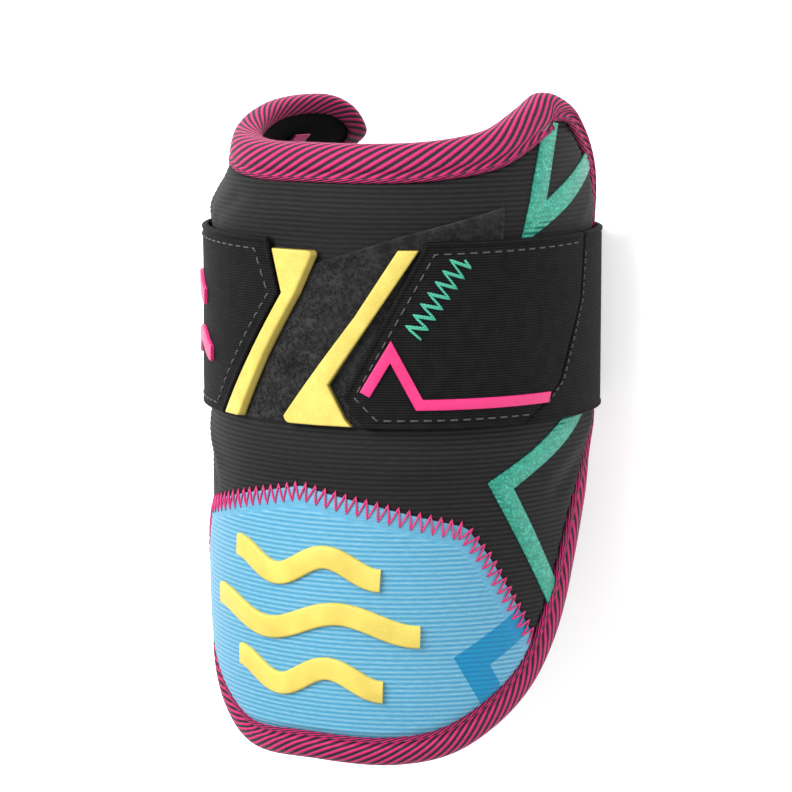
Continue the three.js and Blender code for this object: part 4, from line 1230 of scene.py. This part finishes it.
elastic = webbing("elastic", True, 0.75)
h = STRAP_LOW + crowded(STRAP_WIDTH, 1.2)
shares = np.linspace(0, 1, 110)
left_seam = 2 * strap_half_loop - seam_at(h)
s = seam_at(h)[None, :] + (left_seam - seam_at(h))[None, :] * shares[:, None]
h = np.broadcast_to(h, s.shape)
relief = hem_relief(np.minimum(h - STRAP_LOW, STRAP_LOW + STRAP_WIDTH - h))
band = strap_cloth("strap_elastic", s, h, relief, elastic.material, ["strap_band"])


# Strap ends: canvas, folded under along every edge and stitched 3 mm inside it, with hook pile below.
# A diagonal row of stitching joins each to the elastic.
HEM_STITCHES_IN = 2.8
SLANT_STITCHES_IN = 3.6
SEAM_STITCH_PITCH = 2.4
SEAM_STITCH_LENGTH = 1.7

grey_thread = spun("grey_thread", (0.075, 0.075, 0.078), 0.6)
canvas = webbing("canvas", False, 0.78)
seams = []
for name, rows, side in (("right", RIGHT_END, 1), ("left", LEFT_END, -1)):
    slant = strap_line(rows)
    h = STRAP_LOW + crowded(STRAP_WIDTH, 1.0)
    h = np.sort(np.concatenate([h, [point[1] for point in slant[1:-1]]]))
    near = np.interp(h, [point[1] for point in slant], [point[0] for point in slant])
    reach = side * (seam_at(h) + 1.2) - near
    steps = crowded(60, 1.1, True, False)
    close = np.minimum(steps, 4)
    rest = (steps - close) / (steps - close).max()
    s = near[None, :] + side * close[:, None] + (reach - side * 4)[None, :] * rest[:, None]
    h = np.broadcast_to(h, s.shape)
    from_long_edge = np.minimum(h - STRAP_LOW, STRAP_LOW + STRAP_WIDTH - h)
    from_slant = off_line(s, h, slant)
    inside = np.minimum(from_long_edge, from_slant)
    relief = hem_relief(inside) + 0.12 * np.sin(s / 7 + h / 11) * ease(inside, 2, 10)
    relief = relief - 0.5 * ease(side * s - seam_at(h), -0.8, 0.2)
    end = strap_cloth(
        f"strap_end_{name}_canvas", s, h, relief, canvas.material, [f"strap_end_{name}"]
    )
    inner = [(point[0] + side * SLANT_STITCHES_IN, point[1]) for point in slant]
    inner[0] = (inner[0][0] + side * 0.4, STRAP_LOW + HEM_STITCHES_IN)
    inner[-1] = (inner[-1][0] - 1.2, STRAP_LOW + STRAP_WIDTH - 3.7)
    top_end = (side * (WING_REACH * 0.755 - 1), STRAP_LOW + STRAP_WIDTH - HEM_STITCHES_IN)
    low_end = (side * (WING_REACH * 0.56), STRAP_LOW + HEM_STITCHES_IN + 0.1)
    seams += dashes([low_end, *inner, top_end], STRAP_FACE)
    seam_line = [
        (side * (seam * WING_REACH + 0.8), STRAP_LOW + across * STRAP_WIDTH)
        for across, seam in SEAM_ROWS[1:-1]
    ]
    seams += dashes(seam_line, STRAP_FACE, SEAM_STITCH_PITCH, SEAM_STITCH_LENGTH)
sewn("strap_stitching", seams, on_strap, STITCH_THREAD, grey_thread.material)

MINT_START = (49, 155)
MINT_LEFT = [(44.75, 155.25), (32.25, 135.75)]
MINT_RIGHT = [(50.5, 153), (36.25, 132)]
MINT_TEETH = 7
MINT_THREAD = 0.36
mint_thread = spun("mint_thread", (0.06, 0.42, 0.28))
left_teeth = np.linspace(MINT_LEFT[0], MINT_LEFT[1], MINT_TEETH)
right_teeth = np.linspace(MINT_RIGHT[0], MINT_RIGHT[1], MINT_TEETH + 1)
teeth = [MINT_START, tuple(right_teeth[0])]
for a, b in zip(left_teeth, right_teeth[1:]):
    teeth += [tuple(a), tuple(b)]
satin = []
for a, b in zip(teeth[:-1], teeth[1:]):
    for share in np.linspace(0, 1, 7)[:-1]:
        rise = STRAP_FACE + 0.02 + 0.3 * math.sin(math.pi * share) ** 0.5
        satin.append((a[0] + (b[0] - a[0]) * share, a[1] + (b[1] - a[1]) * share, rise))
satin.append((*teeth[-1], STRAP_FACE))
second = [(s + 0.35, h - 0.5, t) for s, h, t in satin]
sewn("mint_zigzag", [satin, second], on_strap, MINT_THREAD, mint_thread.material)


# Strap tips: yellow rubber mouldings welded to the canvas, one beside each end, to pull the strap by.
# Their faces are chamfered, and the free corners are rounded.
TIP_FACE = 3.6
TIP_CORNER = 0.5
RIGHT_TIP = [(0.012, -0.075, 0.3), (0.05, -0.085, 0.266), (0.23, 0.046, 0.175)]
RIGHT_TIP += [(0.6, 0.315, 0.415), (0.955, 0.536, 0.643)]
LEFT_TIP = [(0.012, -0.552, -0.4), (0.36, -0.322, -0.205), (0.71, -0.096, 0.008)]
LEFT_TIP += [(0.945, -0.156, 0.118)]

# The tips get painted shade on their chamfers and rounded edges, below TIP_FACE.
tip_rubber = rubber("tip_rubber", (0.64, 0.53, 0.12), (0.38, 0.28, 0.04), 0.42, TIP_FACE)


def rounded_end(distance, radius):
    """How far an edge draws in at a rounded corner, at a distance from the corner's end."""
    left = np.minimum(distance, radius)
    return radius - np.sqrt(np.maximum(radius**2 - (radius - left) ** 2, 0))


def strap_tip(name, rows, chamfer, round_low, round_high, replaces):
    """A tip from rows of shares of the strap's width: how far up, its near side and its far side."""
    across = np.array([row[0] for row in rows])
    length = (across[-1] - across[0]) * STRAP_WIDTH
    run = crowded(length, 1.2)
    run = np.sort(np.concatenate([run, (across[1:-1] - across[0]) * STRAP_WIDTH]))
    share = across[0] + run / STRAP_WIDTH
    near = np.interp(share, across, [row[1] * STRAP_WIDTH for row in rows])
    far = np.interp(share, across, [row[2] * STRAP_WIDTH for row in rows])
    near = near + rounded_end(run, round_low)
    far = far - rounded_end(length - run, round_high)
    ends = np.minimum(run, length - run)
    drop = TIP_CORNER * (1 - np.sqrt(1 - (1 - (ends / TIP_CORNER).clip(0, 1)) ** 2))
    arc = np.radians([0, 25, 50, 75, 90])
    left_side = [(TIP_CORNER * (1 - math.cos(a)), TIP_CORNER * (math.sin(a) - 1)) for a in arc]
    broad, deep = chamfer
    right_side = [(broad + 0.35, 0.0), (broad, -0.08), (0.25, -deep + 0.2), (0.0, -deep - 0.12)]
    rings = []
    for i in range(len(run)):
        h = STRAP_LOW + share[i] * STRAP_WIDTH
        width = far[i] - near[i]
        fit = min(1, 0.45 * width / (broad + 0.35))
        ring = [(near[i], h, STRAP_SEAT)]
        ring += [(near[i] + x * fit, h, TIP_FACE + y - drop[i]) for x, y in left_side]
        ring += [((near[i] + far[i]) / 2, h, TIP_FACE - drop[i])]
        ring += [(far[i] - x * fit, h, TIP_FACE + y - drop[i]) for x, y in right_side]
        ring += [(far[i], h, STRAP_SEAT)]
        rings.append(ring)
    rings = np.array(rings)
    solid = on_strap(rings[..., 0], rings[..., 1], rings[..., 2]).reshape(-1, 3)
    faces = ring_faces(len(rings), rings.shape[1], False)
    flat = rings.reshape(-1, 3)
    new_piece(name, solid, faces, flat, tip_rubber.material, replaces, sharp=35)


strap_tip("strap_tip_right_rubber", RIGHT_TIP, (0.5, 0.5), 1.6, 0.3, ["strap_tip_right"])
strap_tip("strap_tip_left_rubber", LEFT_TIP, (1.7, 1.5), 0.3, 2.0, ["strap_tip_left"])


# Pink trims: raised soft rubber marks on the canvas, a bent line on the right end that runs out level
# to the seam, and two small waves on the left end.
LINE_STROKE = 3.2
BENT_LINE = [(0.19, 0.37), (0.42, 0.5), (0.135, 0.645)]
STRAP_MARK_STROKE = 5
STRAP_MARKS = [("upper", 0.66), ("lower", 0.36)]

pink_rubber = rubber("pink_rubber", (0.62, 0.022, 0.165), (0.48, 0.01, 0.1), 0.4)
bends = strap_line(BENT_LINE)
line_end = float(seam_at(bends[-1][1])) - LINE_STROKE * 0.3
bar(
    "bent_line_rubber",
    [*bends, (line_end, bends[-1][1])],
    LINE_STROKE,
    moulded(LINE_STROKE, STRAP_FACE - 0.2, STRAP_FACE + 0.85, 0.3),
    on_strap,
    pink_rubber.material,
    ["bent_line"],
    end_cut=1.0,
)
for name, across in STRAP_MARKS:
    height = STRAP_LOW + across * STRAP_WIDTH
    middle = -float(seam_at(height)) + STRAP_WIDTH * 0.53
    bar(
        f"strap_wave_{name}_rubber",
        wave_line(middle, height, STRAP_WIDTH * 0.3, STRAP_MARK_STROKE / 2),
        STRAP_MARK_STROKE,
        moulded(STRAP_MARK_STROKE, STRAP_FACE - 0.2, STRAP_FACE + 0.95, 0.4),
        on_strap,
        pink_rubber.material,
        [f"strap_wave_{name}"],
    )


# Lining tab: a short loop of pink satin ribbon inside the left wing. Its ends are caught under the rim's
# tape and it hangs against the lining.
TAB_PLACE = -0.575
TAB_WIDTH = 7
TAB_LENGTH = 10
RIBBON_THICKNESS = 0.2
TAB_STAND = 2.1

satin_ribbon = Finish("pink_ribbon", 0.4, Specular_IOR_Level=0.4)
s_flat, h_flat, _ = satin_ribbon.place()
weft = satin_ribbon.wave(h_flat, 0.5)
band_of_light = satin_ribbon.noise(satin_ribbon.at(0.0, h_flat), 0.5, 1)
# Painted light: the satin's bands of sheen and its weft crests are painted lighter in the ramp.
tone = satin_ribbon.math("MULTIPLY_ADD", weft, 0.2, band_of_light)
satin_ribbon.colour(satin_ribbon.ramp(tone, [(0.3, (0.45, 0.02, 0.13)), (0.8, (0.66, 0.14, 0.3))]))
satin_ribbon.bump(weft, 0.05)
tab_middle = TAB_PLACE * WING_REACH
_, tab_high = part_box("lining_tab")
tab_top = tab_high.y / MM - form_shift[1]
turns = np.linspace(0.12, 2 * math.pi - 0.12, 30)
tab_drop = TAB_LENGTH / 2 * (1 - np.cos(turns))
swell_out = (0.45 + 0.9 * (tab_drop / TAB_LENGTH) ** 1.3) * np.sin(turns)
outside = np.stack([tab_top - tab_drop, swell_out], axis=1)
heading = np.gradient(outside, axis=0)
heading /= np.linalg.norm(heading, axis=1)[:, None]
inside = outside + RIBBON_THICKNESS * np.stack([heading[:, 1], -heading[:, 0]], axis=1)
loop = np.concatenate([outside, inside[::-1]])
tab_h = loop[:, 0]
tab_t = loop[:, 1] - WALL - TAB_STAND
tab_s = tab_middle + TAB_WIDTH * np.linspace(-0.5, 0.5, 9)
ribbon_s, ribbon_h = np.meshgrid(tab_s, tab_h, indexing="ij")
ribbon_t = np.broadcast_to(tab_t, ribbon_s.shape)
tab_points = placed(*on_section(ribbon_s, ribbon_h), ribbon_h, ribbon_t).reshape(-1, 3)
flat = np.stack([ribbon_s, ribbon_h, ribbon_t], axis=-1).reshape(-1, 3)
new_piece(
    "lining_tab_ribbon",
    tab_points,
    ring_faces(len(tab_s), len(loop), False),
    flat,
    satin_ribbon.material,
    ["lining_tab"],
)
